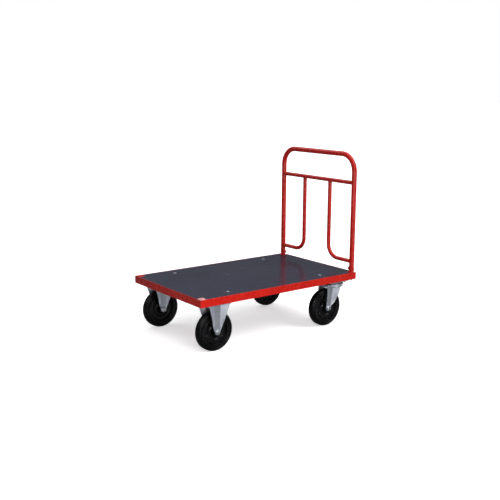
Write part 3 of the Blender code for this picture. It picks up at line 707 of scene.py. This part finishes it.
def add_corners():
    """The closed corner boxes at the front, and a dressed weld down each mitre."""
    welds = bmesh.new()
    for word, side in SIDES.items():
        name = f"front_corner_box_{word}"
        low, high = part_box(name)
        middle, half = (low + high) / 2, (high - low) / 2
        shape = bmesh.new()
        outline = rounded_rectangle(half.x, half.y, 0.003)
        prism(shape, [(x + middle.x, y + middle.y) for x, y in outline], low.z, high.z)
        soften(shape, 0.0009, 3, angle=60)
        # The near (left) corner box gets the painted highlight: pale patches in place of the glare
        # on its top.
        paint = GLARE_PAINTED_RED if word == "left" else RED
        add_piece(f"corner_box_{word}", shape, paint, "cart_frame", [name],
                  even=True)
        x, y = BED_HALF_LENGTH - CORNER_WELD_IN, BED_HALF_WIDTH - CORNER_WELD_IN
        foot = Vector((-x, side * y, RAIL_BOTTOM + 0.001))
        top = Vector((-x, side * y, BED_TOP - 0.0006))
        inward = Vector((1, -side, 0)) * (RAIL_WALL - 0.001)
        bead(welds, evenly([foot, top, top + inward]), radius=CORNER_WELD_RADIUS)
    add_piece("corner_welds", welds, RED, "cart_frame")


def add_deck():
    """The board, notched at its corners, with a seat and a hole for each bolt."""
    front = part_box("front_corner_box_right")
    notch_front = front[1].x + GAP
    notch_side = front[0].y - GAP
    rear_x, rear_y = BRACKET_LOW.x - GAP, BRACKET_LOW.y - GAP
    tool = 0.003  # radius that the router leaves in a notch
    x0, x1, y1 = DECK_LOW.x, DECK_HIGH.x, DECK_HIGH.y
    right_half = [(x1, rear_y, 0.001), (rear_x, rear_y, tool), (rear_x, y1, 0.001),
                  (notch_front, y1, 0.001), (notch_front, notch_side, tool),
                  (x0, notch_side, 0.001)]
    left_half = [(x, -y, radius) for x, y, radius in reversed(right_half)]
    shape = bmesh.new()
    prism(shape, rounded(right_half + left_half), DECK_LOW.z, DECK_HIGH.z)
    soften(shape, 0.0007, angle=60)
    tools = []
    for number in range(1, 5):
        low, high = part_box(f"deck_bolt_{number}")
        x, y, _ = (low + high) / 2
        seat = high.z - DECK_BOLT_HEAD - GAP
        tools.append(rod((x, y, seat), (x, y, 1), (high.x - low.x) / 2 + GAP, 48))
        tools.append(rod((x, y, 0), (x, y, 1), THREAD_RADIUS + GAP))
    mesh = finished("deck", carved("deck", shape, *tools))
    add_piece("deck_panel", mesh, FILM, "cart_frame", ["deck_board"], even=True)
    mesh.materials.append(PLY)
    for face in mesh.polygons:
        if abs(face.normal.z) < 0.3:
            face.material_index = 1


def add_deck_bolts():
    """Mushroom-headed bolts, each with a washer and a nut under its cross tube."""
    for number in range(1, 5):
        node_name = f"deck_bolt_{number}"
        low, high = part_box(node_name)
        x, y, _ = (low + high) / 2
        seat = high.z - DECK_BOLT_HEAD
        head = dome((high.x - low.x) / 2, DECK_BOLT_HEAD, seat + 0.0002)
        shape = bmesh.new()
        turned(shape, [(0, seat), *head[:0:-1], (0, high.z)])
        collar(shape, (0, SHANK_RADIUS), (RAIL_BOTTOM, seat), segments=24)
        add_nut(shape, RAIL_BOTTOM - GAP, low.z)
        add_piece(f"mushroom_bolt_{number}", shape, DULL_ZINC, "cart_frame", [node_name],
                  place_at=Matrix.Translation((x, y, 0)))


def add_nut(shape, top, end):
    """A washer and a nut hung below this height, and the thread's end below them."""
    washer, depth = 0.0012, 0.0055
    collar(shape, (THREAD_RADIUS * 0.9, NUT_HALF_FLATS * 1.18), (top - washer, top),
           (0, 0.0003, 0.0003, 0))
    hexagon(shape, NUT_HALF_FLATS, top - washer - depth, top - washer, ("low", "high"))
    threaded(shape, THREAD_RADIUS, end, top - washer, 0.00125)


# Handle and its hinges

def saddle(side, height, points=72):
    """The line round a horizontal brace tube where it meets the leg on this side."""
    line = []
    for turn in round_angles(points):
        x, z = BRACE_RADIUS * cos(turn), BRACE_RADIUS * sin(turn)
        y = side * (HANDLE_Y - sqrt(HANDLE_RADIUS ** 2 - x * x))
        line.append(Vector((HANDLE_X + x, y, height + z)))
    return line


def brace_top_line(side, points=72):
    """The line round the top of this side's brace where it meets the cross bar above."""
    line = []
    for turn in round_angles(points):
        x, y = BRACE_RADIUS * cos(turn), BRACE_RADIUS * sin(turn)
        fall = sqrt(max(BRACE_RADIUS ** 2 - x * x, 0))
        line.append(Vector((HANDLE_X + x * 1.02, side * BRACE_Y + y, CROSS_BAR_Z - fall)))
    return line


def hollow_tube(path, radius, sides=32):
    outer = circle_rings(path, radius, sides)
    inner = circle_rings(path, radius - TUBE_WALL, sides)
    shape = bmesh.new()
    skin(shape, outer + inner[::-1], along=True)
    return shape


def handle_loop_shape():
    """The bent loop, its feet slotted for the lugs and drilled for pivots and slide bolts."""
    path = rounded_path([(HANDLE_X, -HANDLE_Y, FOOT_Z), (HANDLE_X, -HANDLE_Y, HANDLE_TOP),
                         (HANDLE_X, HANDLE_Y, HANDLE_TOP), (HANDLE_X, HANDLE_Y, FOOT_Z)],
                        HANDLE_BEND, 20)
    tools = []
    for word, side in SIDES.items():
        y = side * HANDLE_Y
        slot = bmesh.new()
        half = SLOT_WIDTH / 2
        reach = HANDLE_RADIUS + CUT_BEYOND
        outline = [(half, FOOT_Z - CUT_BEYOND), (half, SLOT_TOP), (-half, SLOT_TOP),
                   (-half, FOOT_Z - CUT_BEYOND)]
        rings = [[(x, y + across, z) for across, z in outline]
                 for x in (HANDLE_X - reach, HANDLE_X + reach)]
        skin(slot, rings, capped=True)
        tools.append(slot)
        bolt_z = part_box(f"slide_bolt_{word}")[1].z - size(f"slide_bolt_{word}").x / 2
        for z in (PIVOT_Z, bolt_z):
            tools.append(rod((HANDLE_X, y - reach, z), (HANDLE_X, y + reach, z),
                             PIVOT_HOLE_RADIUS, 24))
    return carved("loop", hollow_tube(path, HANDLE_RADIUS, 36), *tools)


def leg_tool(side):
    """The outside of one of the loop's legs, to cope the end of a tube that meets it."""
    return rod((HANDLE_X, side * HANDLE_Y, BED_TOP),
               (HANDLE_X, side * HANDLE_Y, HANDLE_TOP - HANDLE_BEND),
               HANDLE_RADIUS - COPE_DEPTH, 64)


def add_handle():
    """The loop, its cross bar and J-shaped braces, coped and welded where they meet."""
    add_piece("push_bar", handle_loop_shape(), RED, "push_handle",
              ["handle_loop"])
    ends = [Vector((HANDLE_X, side * HANDLE_Y, CROSS_BAR_Z)) for side in SIDES.values()]
    bar = carved("bar", hollow_tube(evenly(ends, 0.05), BRACE_RADIUS), leg_tool(-1), leg_tool(1))
    add_piece("cross_bar", bar, RED, "push_handle", ["handle_cross_bar"])
    for word, side in SIDES.items():
        path = rounded_path([(HANDLE_X, side * BRACE_Y, CROSS_BAR_Z),
                             (HANDLE_X, side * BRACE_Y, BRACE_FOOT_Z),
                             (HANDLE_X, side * HANDLE_Y, BRACE_FOOT_Z)], BRACE_BEND, 18)
        bar_tool = rod(*ends, BRACE_RADIUS - COPE_DEPTH, 64)
        brace = carved("brace", hollow_tube(path, BRACE_RADIUS), leg_tool(side), bar_tool)
        add_piece(f"j_brace_{word}", brace, RED, "push_handle", [f"handle_brace_{word}"])
        welds = bmesh.new()
        for height in (CROSS_BAR_Z, BRACE_FOOT_Z):
            bead(welds, saddle(side, height), closed=True)
        bead(welds, brace_top_line(side), closed=True)
        add_piece(f"handle_welds_{word}", welds, RED, "push_handle")


def softened_copy(node_name, width):
    """A CAD node's own mesh, welded and flattened, with its edges rounded."""
    shape = bmesh.new()
    shape.from_mesh(frame["nodes"][node_name].data)
    bmesh.ops.remove_doubles(shape, verts=shape.verts, dist=1e-6)
    bmesh.ops.dissolve_limit(shape, angle_limit=radians(1), verts=shape.verts, edges=shape.edges)
    soften(shape, width, 2, angle=50)
    return shape


def pivot_fastener():
    """A hinge's domed pivot bolt and its nut, about Z, with the bolt's head upwards."""
    reach = HANDLE_RADIUS + GAP
    shape = bmesh.new()
    turned(shape, [(0, reach), *dome(0.0075, 0.003, reach + 0.0002)[:0:-1],
                   (0, reach + 0.0032)], 32)
    collar(shape, (0, PIVOT_RADIUS), (-reach, reach), segments=24)
    threaded(shape, 0.0050, -reach - 0.008, -reach, 0.0010)
    hexagon(shape, 0.0080, -reach - 0.007, -reach, ("low", "high"))
    return shape


def lock_bolt(node_name, side):
    """An L-shaped slide bolt: a round bar whose arm hangs down to be pushed."""
    low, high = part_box(node_name)
    radius = (high.x - low.x) / 2
    height = high.z - radius
    tip, arm = (high.y, low.y) if side > 0 else (low.y, high.y)
    arm += side * radius
    path = rounded_path([(HANDLE_X, tip - side * radius, height), (HANDLE_X, arm, height),
                         (HANDLE_X, arm, low.z + radius)], 0.010)
    shape = bmesh.new()
    round_ended(shape, path, radius)
    return shape


def add_hinges():
    """The brackets, pivots and slide bolts at the handle's feet."""
    for word, side in SIDES.items():
        for name, node_name, edge in (("foot_bracket", "hinge_bracket", 0.0004),
                                      ("bolt_guide", "slide_bolt_guide", 0.0005)):
            add_piece(f"{name}_{word}", softened_copy(f"{node_name}_{word}", edge), RED,
                      "cart_frame", [f"{node_name}_{word}"], even=True)
        outside = facing_out(HANDLE_X, HANDLE_Y, PIVOT_Z, side)
        add_piece(f"pivot_fastener_{word}", pivot_fastener(), RED, "push_handle",
                  [f"pivot_bolt_{word}", f"pivot_nut_{word}"], place_at=outside)
        bolt = f"slide_bolt_{word}"
        add_piece(f"lock_bolt_{word}", lock_bolt(bolt, side), ZINC, f"lock_{word}", [bolt])


# Casters

# Rows down a leg: height, edge, fold, fold, edge, and how far the edges splay outwards
FIXED_ROWS = ((PLATE_BOTTOM, -0.060, -0.0245, 0.0245, 0.060, 0.021),
              (0.200, -0.049, -0.0225, 0.0225, 0.049, 0.0175),
              (0.165, -0.038, -0.0205, 0.0205, 0.038, 0.0125),
              (0.130, -0.028, -0.0180, 0.0180, 0.028, 0.004),
              (0.112, -0.0205, -0.0155, 0.0155, 0.0205, 0.001))
SWIVEL_ROWS = ((CROWN_BOTTOM + 0.001, -0.066, -0.056, -0.0225, 0.0165, 0.014),
               (0.190, -0.067, -0.0565, -0.0265, 0.0125, 0.014),
               (0.157, -0.068, -0.058, -0.030, -0.004, 0.0135),
               (0.128, -0.069, -0.061, -0.0345, -0.0215, 0.010),
               (0.109, -0.0695, -0.0645, -0.0415, -0.0365, 0.002))
SWIVEL_REAR_SHARE = 0.4  # of a swivel leg's splay, at its rear edge
LEG_END_RADIUS = 0.0158
LEG_END_FOLD = 0.8       # where the folds run over a leg's round end, as a share of its radius
LEG_END_SPLAY = 0.0005


def leg_rows(rows, axle_x, steps=6):
    """Closer rows down a leg: smoothly through the given ones, then round its axle."""
    radius = LEG_END_RADIUS

    def end_row(height, width, splay):
        fold = width * LEG_END_FOLD
        return (height, axle_x - width, axle_x - fold, axle_x + fold, axle_x + width, splay)

    keys = [*rows, end_row(AXLE_Z, radius, LEG_END_SPLAY)]
    made = []
    for i, (start, end) in enumerate(zip(keys, keys[1:])):
        before = keys[i - 1] if i else start
        after = keys[i + 2] if i + 2 < len(keys) else end
        for step in range(steps):
            made.append(tuple(between(before, start, end, after, k, step / steps)
                              for k in range(6)))
    for step in range(steps + 1):
        turn = step / steps * pi / 2 * 0.97
        made.append(end_row(AXLE_Z - radius * sin(turn), radius * cos(turn),
                            LEG_END_SPLAY * (1 - step / steps)))
    return made


def between(before, start, end, after, k, share):
    """The value numbered k, on a smooth curve over the heights from one key row to the next."""
    run = end[0] - start[0]
    slope_in = run * (end[k] - before[k]) / (end[0] - before[0])
    slope_out = run * (after[k] - start[k]) / (after[0] - start[0])
    s2, s3 = share * share, share ** 3
    return (start[k] * (2 * s3 - 3 * s2 + 1) + slope_in * (s3 - 2 * s2 + share)
            + end[k] * (3 * s2 - 2 * s3) + slope_out * (s3 - s2))


def leg_section(row, side, first_share):
    """Points across a leg at one height: flange, rounded fold, panel, rounded fold, flange.

    The first edge has only this share of the splay.
    """
    z, edge_a, fold_a, fold_b, edge_b, splay = row
    inner, outer = side * FORK_INSIDE, side * (FORK_INSIDE + splay)
    first = side * (FORK_INSIDE + splay * first_share)
    corners = [Vector((edge_a, first)), Vector((fold_a, inner)), Vector((fold_b, inner)),
               Vector((edge_b, outer))]
    points = [corners[0], corners[0].lerp(corners[1], 0.4)]
    for before, corner, after in zip(corners, corners[1:], corners[2:]):
        start = corner.lerp(before, 0.45 if before is corners[0] else 0.16)
        end = corner.lerp(after, 0.45 if after is corners[3] else 0.16)
        for step in range(6):
            share = step / 5
            points.append(start.lerp(corner, share).lerp(corner.lerp(end, share), share))
        if after is not corners[3]:
            points += [corner.lerp(after, part) for part in (0.33, 0.5, 0.67)]
    points += [corners[3].lerp(corners[2], 0.4), corners[3]]
    return [(x, y, z) for x, y in points]


def add_leg(name, rows, axle_x, side, place_at, body, first_share=1):
    """One pressed fork leg, drawn as its inner surface and thickened outwards, and its weld."""
    shape = bmesh.new()
    skin(shape, [leg_section(row, side, first_share) for row in leg_rows(rows, axle_x)],
         around=False)
    bmesh.ops.remove_doubles(shape, verts=shape.verts, dist=1e-6)
    shape.normal_update()
    shape.faces.ensure_lookup_table()
    if shape.faces[len(shape.faces) // 2].normal.y * side < 0:
        bmesh.ops.reverse_faces(shape, faces=shape.faces)
    mesh = mesh_of(name, shape)
    mesh.shade_smooth()
    leg = add_piece(name, mesh, PRESSED, body, place_at=place_at)
    modify(leg, "SOLIDIFY", thickness=FORK_WALL, offset=1, use_even_offset=True)
    modify(leg, "BEVEL", width=0.0008, segments=3, limit_method="ANGLE", angle_limit=radians(50))
    modify(leg, "WEIGHTED_NORMAL", keep_sharp=True)
    line = [Vector(point) + Vector((0, side * FORK_WALL, 0))
            for point in leg_section(rows[0], side, first_share)]
    weld = bmesh.new()
    bead(weld, evenly(line))
    add_piece(name + "_weld", weld, PRESSED, body, place_at=place_at)


def add_caster_plate(name, middle, body, nodes, bolt_finish):
    """A top plate with slotted holes, and its four bolts' nuts underneath."""
    length, width, _ = PLATE_SIZE
    shape = bmesh.new()
    prism(shape, rounded_rectangle(length / 2, width / 2, 0.009), PLATE_BOTTOM, PLATE_TOP)
    soften(shape, 0.0007, angle=60)
    bolt = bmesh.new()
    add_nut(bolt, PLATE_BOTTOM, PLATE_BOTTOM - 0.0085)
    collar(bolt, (0, SHANK_RADIUS), (PLATE_BOTTOM, FLANGE_TOP), segments=24)
    spots = [(x, y) for x in (-PLATE_BOLT_X, PLATE_BOLT_X) for y in (-PLATE_BOLT_Y, PLATE_BOLT_Y)]
    holes = []
    for x, y in spots:
        hole = bmesh.new()
        outline = rounded_rectangle(0.0065, 0.0044, 0.0043, 6)
        prism(hole, [(x + a, y + b) for a, b in outline], PLATE_BOTTOM - CUT_BEYOND,
              PLATE_TOP + CUT_BEYOND)
        holes.append(hole)
    nuts = bmesh.new()
    stamp(nuts, bolt, [Matrix.Translation((x, y, 0)) @ Matrix.Rotation(x * 90 + y * 50, 4, "Z")
                       for x, y in spots])
    shift = Matrix.Translation((middle.x, middle.y, 0))
    add_piece(name, carved(name, shape, *holes), PRESSED, body, nodes,
              place_at=shift, even=True)
    add_piece(name + "_nuts", nuts, bolt_finish, body, place_at=shift)


def add_axle(corner, axle, side, body):
    """A flanged axle bolt with its head outside, and a flanged nut on its threaded end."""
    flange, rise, flats = 0.0118, 0.0016, 0.0088
    shape = bmesh.new()
    for end in (FORK_FACE, -FORK_FACE):
        out = 1 if end > 0 else -1
        turned(shape, rounded([(0, end, 0), (flange, end, 0.0004),
                               (flange, end + out * rise, 0.0008), (0, end + out * 0.0022, 0)]))
    hexagon(shape, flats, FORK_FACE + 0.0010, FORK_FACE + 0.0075)
    hexagon(shape, flats, -FORK_FACE - 0.0100, -FORK_FACE - 0.0010, ("low",))
    collar(shape, (0, 0.0056), (-FORK_FACE, FORK_FACE), segments=32)
    threaded(shape, 0.0058, -FORK_FACE - 0.012, -FORK_FACE, 0.0015)
    where = facing_out(*axle, side)
    add_piece(f"axle_{corner}", shape, ZINC, body,
              [f"axle_bolt_{corner}", f"axle_nut_{corner}"], place_at=where)


def add_fixed_caster(word, side):
    """A fixed caster's plate, two legs and axle."""
    middle = Vector((FRONT_AXLE.x, side * TRACK_Y, 0))
    shift = Matrix.Translation(middle)
    add_caster_plate(f"fixed_plate_{word}", middle, "cart_frame", [f"fixed_fork_{word}"], ZINC)
    for end, leg_side in (("outer", side), ("inner", -side)):
        add_leg(f"fixed_leg_{word}_{end}", FIXED_ROWS, 0, leg_side, shift, "cart_frame")
    add_axle(f"front_{word}", FRONT_AXLE, side, "cart_frame")


def crown_outline():
    """The swivel crown from above: a disc, drawn back to two square shoulders over the legs."""
    shoulder_x, shoulder_y = -0.0670, 0.0401
    start = pi - asin(shoulder_y / CROWN_RADIUS)
    steps = 48
    turns = [start - 2 * start * step / steps for step in range(steps + 1)]
    disc = [(CROWN_RADIUS * cos(turn), CROWN_RADIUS * sin(turn), 0) for turn in turns]
    corners = [(shoulder_x, -shoulder_y, 0.009), (shoulder_x, shoulder_y, 0.009)]
    return rounded(disc + corners)


def king_pin(low, high):
    """The pin through a swivel head, with a hexagonal head above and a nut below."""
    shape = bmesh.new()
    hexagon(shape, 0.0095, PLATE_TOP + GAP, high)
    hexagon(shape, 0.0100, low + 0.0015, CROWN_BOTTOM - GAP, ("low",))
    threaded(shape, 0.0068, low, CROWN_BOTTOM, 0.0015, 32)
    collar(shape, (0, 0.0066), (CROWN_BOTTOM, PLATE_TOP + 0.001), segments=32)
    return shape


def add_race(name, body, radii, heights, fillets, place_at):
    """A ball race's ring in a swivel head."""
    shape = bmesh.new()
    collar(shape, radii, heights, fillets, 96)
    add_piece(name, shape, PRESSED, body, place_at=place_at)


def add_swivel_caster(word, side):
    """A swivel caster: plate, races, king pin, crown with its skirt, two legs and axle."""
    middle = Vector((SWIVEL_X, side * TRACK_Y, 0))
    shift = Matrix.Translation(middle)
    fixed, turning = "cart_frame", f"swivel_{word}"
    add_caster_plate(f"swivel_top_{word}", middle, fixed, [f"swivel_plate_{word}"], DARK)
    add_race(f"upper_race_{word}", fixed, (0.012, 0.038), (RACE_MEETING + GAP, PLATE_BOTTOM + GAP),
             (0.0005, 0.0015, 0, 0), shift)
    pin_low, pin_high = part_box(f"king_pin_{word}")
    add_piece(f"swivel_pin_{word}", king_pin(pin_low.z, pin_high.z), ZINC, fixed,
              [f"king_pin_{word}"], place_at=shift)
    shape = bmesh.new()
    prism(shape, crown_outline(), CROWN_BOTTOM, CROWN_TOP)
    hole = rod((0, 0, CROWN_BOTTOM - CUT_BEYOND), (0, 0, CROWN_TOP + CUT_BEYOND), 0.0073, 48)
    shape = carved("crown", shape, hole)
    soften(shape, 0.0010, 3, angle=60)
    add_piece(f"crown_{word}", shape, PRESSED, turning, [f"swivel_fork_{word}"], place_at=shift,
              even=True)
    inside = CROWN_RADIUS - SKIRT_WALL
    shape = bmesh.new()
    turned(shape, rounded([(inside, CROWN_BOTTOM + 0.001, 0), (inside, SKIRT_BOTTOM, 0.0010),
                           (CROWN_RADIUS, SKIRT_BOTTOM, 0.0014),
                           (CROWN_RADIUS, CROWN_TOP - 0.0008, 0.0005)], steps=5), 96)
    add_piece(f"dust_skirt_{word}", shape, PRESSED, turning, place_at=shift)
    add_race(f"lower_race_{word}", turning, (0.010, 0.040), (CROWN_TOP - 0.001, RACE_MEETING),
             (0, 0, 0.0015, 0.0005), shift)
    for end, leg_side in (("outer", side), ("inner", -side)):
        add_leg(f"swivel_leg_{word}_{end}", SWIVEL_ROWS, REAR_AXLE.x - SWIVEL_X, leg_side, shift,
                turning, SWIVEL_REAR_SHARE)
    add_axle(f"rear_{word}", REAR_AXLE, side, turning)


# Wheels

WHEEL_RADIUS = AXLE_Z
TYRE_HALF_WIDTH = size("tyre_front_left").y / 2
TYRE_SEAT = 0.072
SHOULDER_RADIUS = 0.0115
GROOVES = (0.0030, 0.0085, 0.0137)  # distance of the tread's grooves from its middle
GROOVE_HALF, GROOVE_DEPTH = 0.0007, 0.0016
SIPES = 44
SIPE_STEPS = 3                      # steps round the tyre from one sipe to the next
SIPE_DEPTH = 0.0009
RIBS = (0.0868, 0.0838, 0.0808, 0.0778)  # radii of the ribs round a sidewall
RIB_RADIUS = 0.0009
RIVET_CIRCLE, RIVET_SEAT = 0.053, 0.0105
WHEEL_TURNS = {"front_left": -0.70, "front_right": 0.4, "rear_left": -0.50, "rear_right": 0.9}


def tread_radius(height):
    """The tyre's radius at this distance from its middle, falling away over the shoulder."""
    over = max(0.0, height - (TYRE_HALF_WIDTH - SHOULDER_RADIUS))
    return WHEEL_RADIUS - SHOULDER_RADIUS + sqrt(max(0.0, SHOULDER_RADIUS ** 2 - over * over))


def tyre_half_profile():
    """Half of a tyre's section, from the middle of the tread to its seat on the rim."""
    points = [(WHEEL_RADIUS, 0.0)]
    for groove in GROOVES:
        for step, depth in ((-2, 0), (-1, GROOVE_DEPTH), (1, GROOVE_DEPTH), (2, 0)):
            height = groove + step * GROOVE_HALF
            points.append((tread_radius(height) - depth, height))
    wall = TYRE_HALF_WIDTH
    for turn in (40, 55, 70, 90):
        points.append((WHEEL_RADIUS - SHOULDER_RADIUS * (1 - cos(radians(turn))),
                       wall - SHOULDER_RADIUS * (1 - sin(radians(turn)))))
    for rib in RIBS:
        for step in range(5):
            turn = step * pi / 4
            points.append((rib + RIB_RADIUS * cos(turn), wall - 0.0007 + RIB_RADIUS * sin(turn)))
    return points + [(0.0745, wall - 0.0012), (TYRE_SEAT, wall - 0.0022)]


def tyre_shape():
    """A tyre with grooves round its tread and short sipes across its shoulders."""
    half = tyre_half_profile()
    profile = [(r, -h) for r, h in reversed(half[1:])] + half
    last_groove = GROOVES[-1] + 2 * GROOVE_HALF
    rings = []
    steps = SIPES * SIPE_STEPS
    for step in range(steps):
        angle = 2 * pi * (step + 0.5) / steps
        cut = SIPE_DEPTH if step % SIPE_STEPS == 0 else 0.0
        ring = []
        for r, h in profile:
            on_shoulder = abs(h) > last_groove - 1e-6 and r > WHEEL_RADIUS - SHOULDER_RADIUS * 0.8
            reach = r - cut if on_shoulder else r
            ring.append((reach * cos(angle), reach * sin(angle), h))
        rings.append(ring)
    shape = bmesh.new()
    skin(shape, rings, along=True)
    return shape


def rim_shape():
    """A wheel centre, the same on both sides, through (radius, height, fillet) corners.

    From outside inwards: the barrel, the raised ring that carries the rivets, and the hub.
    """
    seat = TYRE_SEAT - GAP
    edge = size("wheel_rim_front_left").y / 2
    barrel = 0.018
    half = [(seat, barrel, 0.0008), (0.0675, barrel, 0.0008), (0.0655, 0.0070, 0.0020),
            (0.0610, 0.0110, 0.0020), (0.0450, 0.0110, 0.0020), (0.0410, 0.0050, 0.0020),
            (0.0320, 0.0050, 0.0020), (0.0280, 0.0080, 0.0025), (0.0240, 0.0120, 0.0025),
            (0.0205, 0.0280, 0.0010), (0.0195, edge, 0.0006), (0.0135, edge, 0.0005)]
    profile = [(r, -h, fillet) for r, h, fillet in half]
    profile += [(r, h, fillet) for r, h, fillet in reversed(half)]
    shape = bmesh.new()
    turned(shape, rounded(profile, steps=2), 80)
    return shape


def rivets_shape():
    """Domed rivet heads on both faces of a wheel's disc, three to a circle."""
    profile = [(0, RIVET_SEAT), *dome(0.0052, 0.0034, RIVET_SEAT + 0.0004)[:0:-1],
               (0, RIVET_SEAT + 0.0038)]
    rivet = bmesh.new()
    turned(rivet, profile, 24)
    turned(rivet, [(r, -h) for r, h in profile], 24)
    shape = bmesh.new()
    stamp(shape, rivet, [Matrix.Rotation(number * 2 * pi / 3, 4, "Z")
                         @ Matrix.Translation((RIVET_CIRCLE, 0, 0)) for number in range(3)])
    return shape


def add_wheel(corner, axle, side, turn):
    """A tyre, its rivetted centre and the roller cage in the hub."""
    body = f"wheel_{corner}"
    where = facing_out(*axle, side) @ Matrix.Rotation(turn, 4, "Z")
    cage = bmesh.new()
    collar(cage, (0.0068, 0.0131), (-0.0289, 0.0289), (0.0004,) * 4)
    parts = (("solid_tyre", finished("solid_tyre", tyre_shape(), 50), RUBBER, ["tyre"]),
             ("wheel_centre", rim_shape(), ENAMEL, ["wheel_rim"]),
             ("roller_cage", cage, BRONZE, ["hub_bush"]),
             ("wheel_rivets", rivets_shape(), DARK, []))
    for name, shape, material, nodes in parts:
        add_piece(f"{name}_{corner}", shape, material, body,
                  [f"{node_name}_{corner}" for node_name in nodes], place_at=where)


def add_bracket_screws():
    """The hexagon screws that hold the hinge brackets, seen under the rails."""
    for word, side in SIDES.items():
        washer_bottom = RAIL_BOTTOM - 0.0015
        shape = bmesh.new()
        collar(shape, (0, 0.0085), (washer_bottom, RAIL_BOTTOM - GAP), (0, 0.0003, 0.0003, 0))
        hexagon(shape, NUT_HALF_FLATS, washer_bottom - 0.0055, washer_bottom, ("low",))
        add_piece(f"bracket_screw_{word}", shape, DARK, "cart_frame",
                  place_at=Matrix.Translation((HANDLE_X, side * HANDLE_Y, 0)))


# Studio

FLOOR_RADIUS, BACKDROP_RADIUS = 60, 58
SOFTBOXES = (((0.98, 0.10, -0.15), 0.80, 0.95, 0.9),   # direction, cosines of its edges, glow
             ((0.12, -0.97, -0.12), 0.955, 0.985, 1.5),
             ((-0.44, -0.88, -0.15), 0.965, 0.990, 0.9),
             ((-0.20, 0.68, 0.70), 0.970, 0.985, 3.0))


def add_stage():
    """A pale floor, and a white backdrop that only the camera sees."""
    shape = bmesh.new()
    bmesh.ops.create_circle(shape, cap_ends=True, segments=96, radius=FLOOR_RADIUS)
    floor = in_scene("studio_floor", mesh_of("studio_floor", shape))
    material, tree, link = finish("studio_floor", specular_ior_level=0.1)
    link(base_color=mixed(tree, ramp(tree, noise(tree, place(tree), 1.2), 0.3, 0.7),
                          (0.90, 0.90, 0.90), (0.93, 0.93, 0.93)))
    link(roughness=ramp(tree, noise(tree, place(tree), 5), 0.3, 0.7, 0.7, 0.9))
    shader = tree.nodes["Principled BSDF"]
    shader.inputs["Emission Color"].default_value = (1, 1, 1, 1)
    shader.inputs["Emission Strength"].default_value = 0.55
    floor.data.materials.append(material)
    floor.visible_diffuse = floor.visible_glossy = False

    shape = bmesh.new()
    bmesh.ops.create_uvsphere(shape, u_segments=48, v_segments=24, radius=BACKDROP_RADIUS)
    backdrop = in_scene("backdrop", mesh_of("backdrop", shape))
    material = bpy.data.materials.new("backdrop")
    material.use_nodes = True
    tree = material.node_tree
    tree.nodes.clear()
    glow = node(tree, "Emission", {"Color": (1, 1, 1, 1), "Strength": 1.0})
    output = node(tree, "OutputMaterial")
    tree.links.new(glow.outputs[0], output.inputs[0])
    backdrop.data.materials.append(material)
    for name in ("diffuse", "glossy", "transmission", "shadow", "volume_scatter"):
        setattr(backdrop, "visible_" + name, False)


def add_sun(name, toward, strength, softness):
    """A sun lamp in this direction, its disc this many degrees wide."""
    light = bpy.data.lights.new(name, "SUN")
    light.energy = strength
    light.angle = radians(softness)
    lamp = in_scene(name, light)
    lamp.rotation_euler = Vector(toward).to_track_quat("Z", "Y").to_euler()


def add_world():
    """A dim room: paler below and overhead than at the horizon, with glowing softboxes."""
    world = bpy.data.worlds.new("studio")
    world.use_nodes = True
    tree = world.node_tree
    direction = node(tree, "TexCoord").outputs["Generated"]
    rise = node(tree, "SeparateXYZ", {0: direction}).outputs["Z"]
    glow = math(tree, "ADD", ramp(tree, rise, 0.0, 1.0, 0.09, 0.38),
                ramp(tree, rise, -0.25, 0.0, 0.13, 0.0))
    for toward, outer, inner, strength in SOFTBOXES:
        cosine = node(tree, "VectorMath", {0: direction, 1: Vector(toward).normalized()},
                      operation="DOT_PRODUCT").outputs["Value"]
        glow = math(tree, "ADD", glow, ramp(tree, cosine, outer, inner, 0.0, strength))
    background = tree.nodes["Background"]
    background.inputs["Color"].default_value = (0.94, 0.96, 1.0, 1)
    tree.links.new(glow, background.inputs["Strength"])
    bpy.context.scene.world = world


def add_lights():
    """Two soft suns, and a softbox in front of the near corner."""
    add_sun("key", (0.38, -0.62, 0.72), 1.55, 28)
    add_sun("top", (0.15, -0.05, 1.0), 1.0, 60)
    data = bpy.data.lights.new("front_softbox", "AREA")
    data.energy = 11
    data.size = 0.8
    lamp = in_scene("front_softbox", data)
    lamp.location = (-0.95, -1.5, 0.8)
    aim = Vector((-0.3, -0.3, 0.25)) - lamp.location
    lamp.rotation_euler = aim.to_track_quat("-Z", "Y").to_euler()
    bpy.context.scene.view_settings.view_transform = "Standard"


def add_camera():
    """The photograph's viewpoint."""
    data = bpy.data.cameras.new("camera")
    data.sensor_width = 36
    data.lens = 57.89
    data.clip_end = 200
    camera = in_scene("camera", data)
    azimuth, down, roll = radians(37.19), radians(11.6), radians(0.318)
    turn = (Matrix.Rotation(-azimuth, 4, "Z") @ Matrix.Rotation(pi / 2 - down, 4, "X")
            @ Matrix.Rotation(roll, 4, "Z"))
    camera.matrix_world = Matrix.Translation((-2.494, -3.3126, 1.2587)) @ turn
    bpy.context.scene.camera = camera


add_camera()
add_world()
add_lights()
add_stage()
add_rails()
add_cross_tubes()
add_corners()
add_deck()
add_deck_bolts()
add_handle()
add_hinges()
add_bracket_screws()
for side_word, side_sign in SIDES.items():
    add_fixed_caster(side_word, side_sign)
    add_swivel_caster(side_word, side_sign)
for corner_word, turn_angle in WHEEL_TURNS.items():
    end_word, side_word = corner_word.split("_")
    add_wheel(corner_word, FRONT_AXLE if end_word == "front" else REAR_AXLE, SIDES[side_word],
              turn_angle)
for pivot_side in SIDES:
    frame["nodes"][f"pivot_bush_{pivot_side}"].data.materials.clear()
    frame["nodes"][f"pivot_bush_{pivot_side}"].data.materials.append(BRONZE)
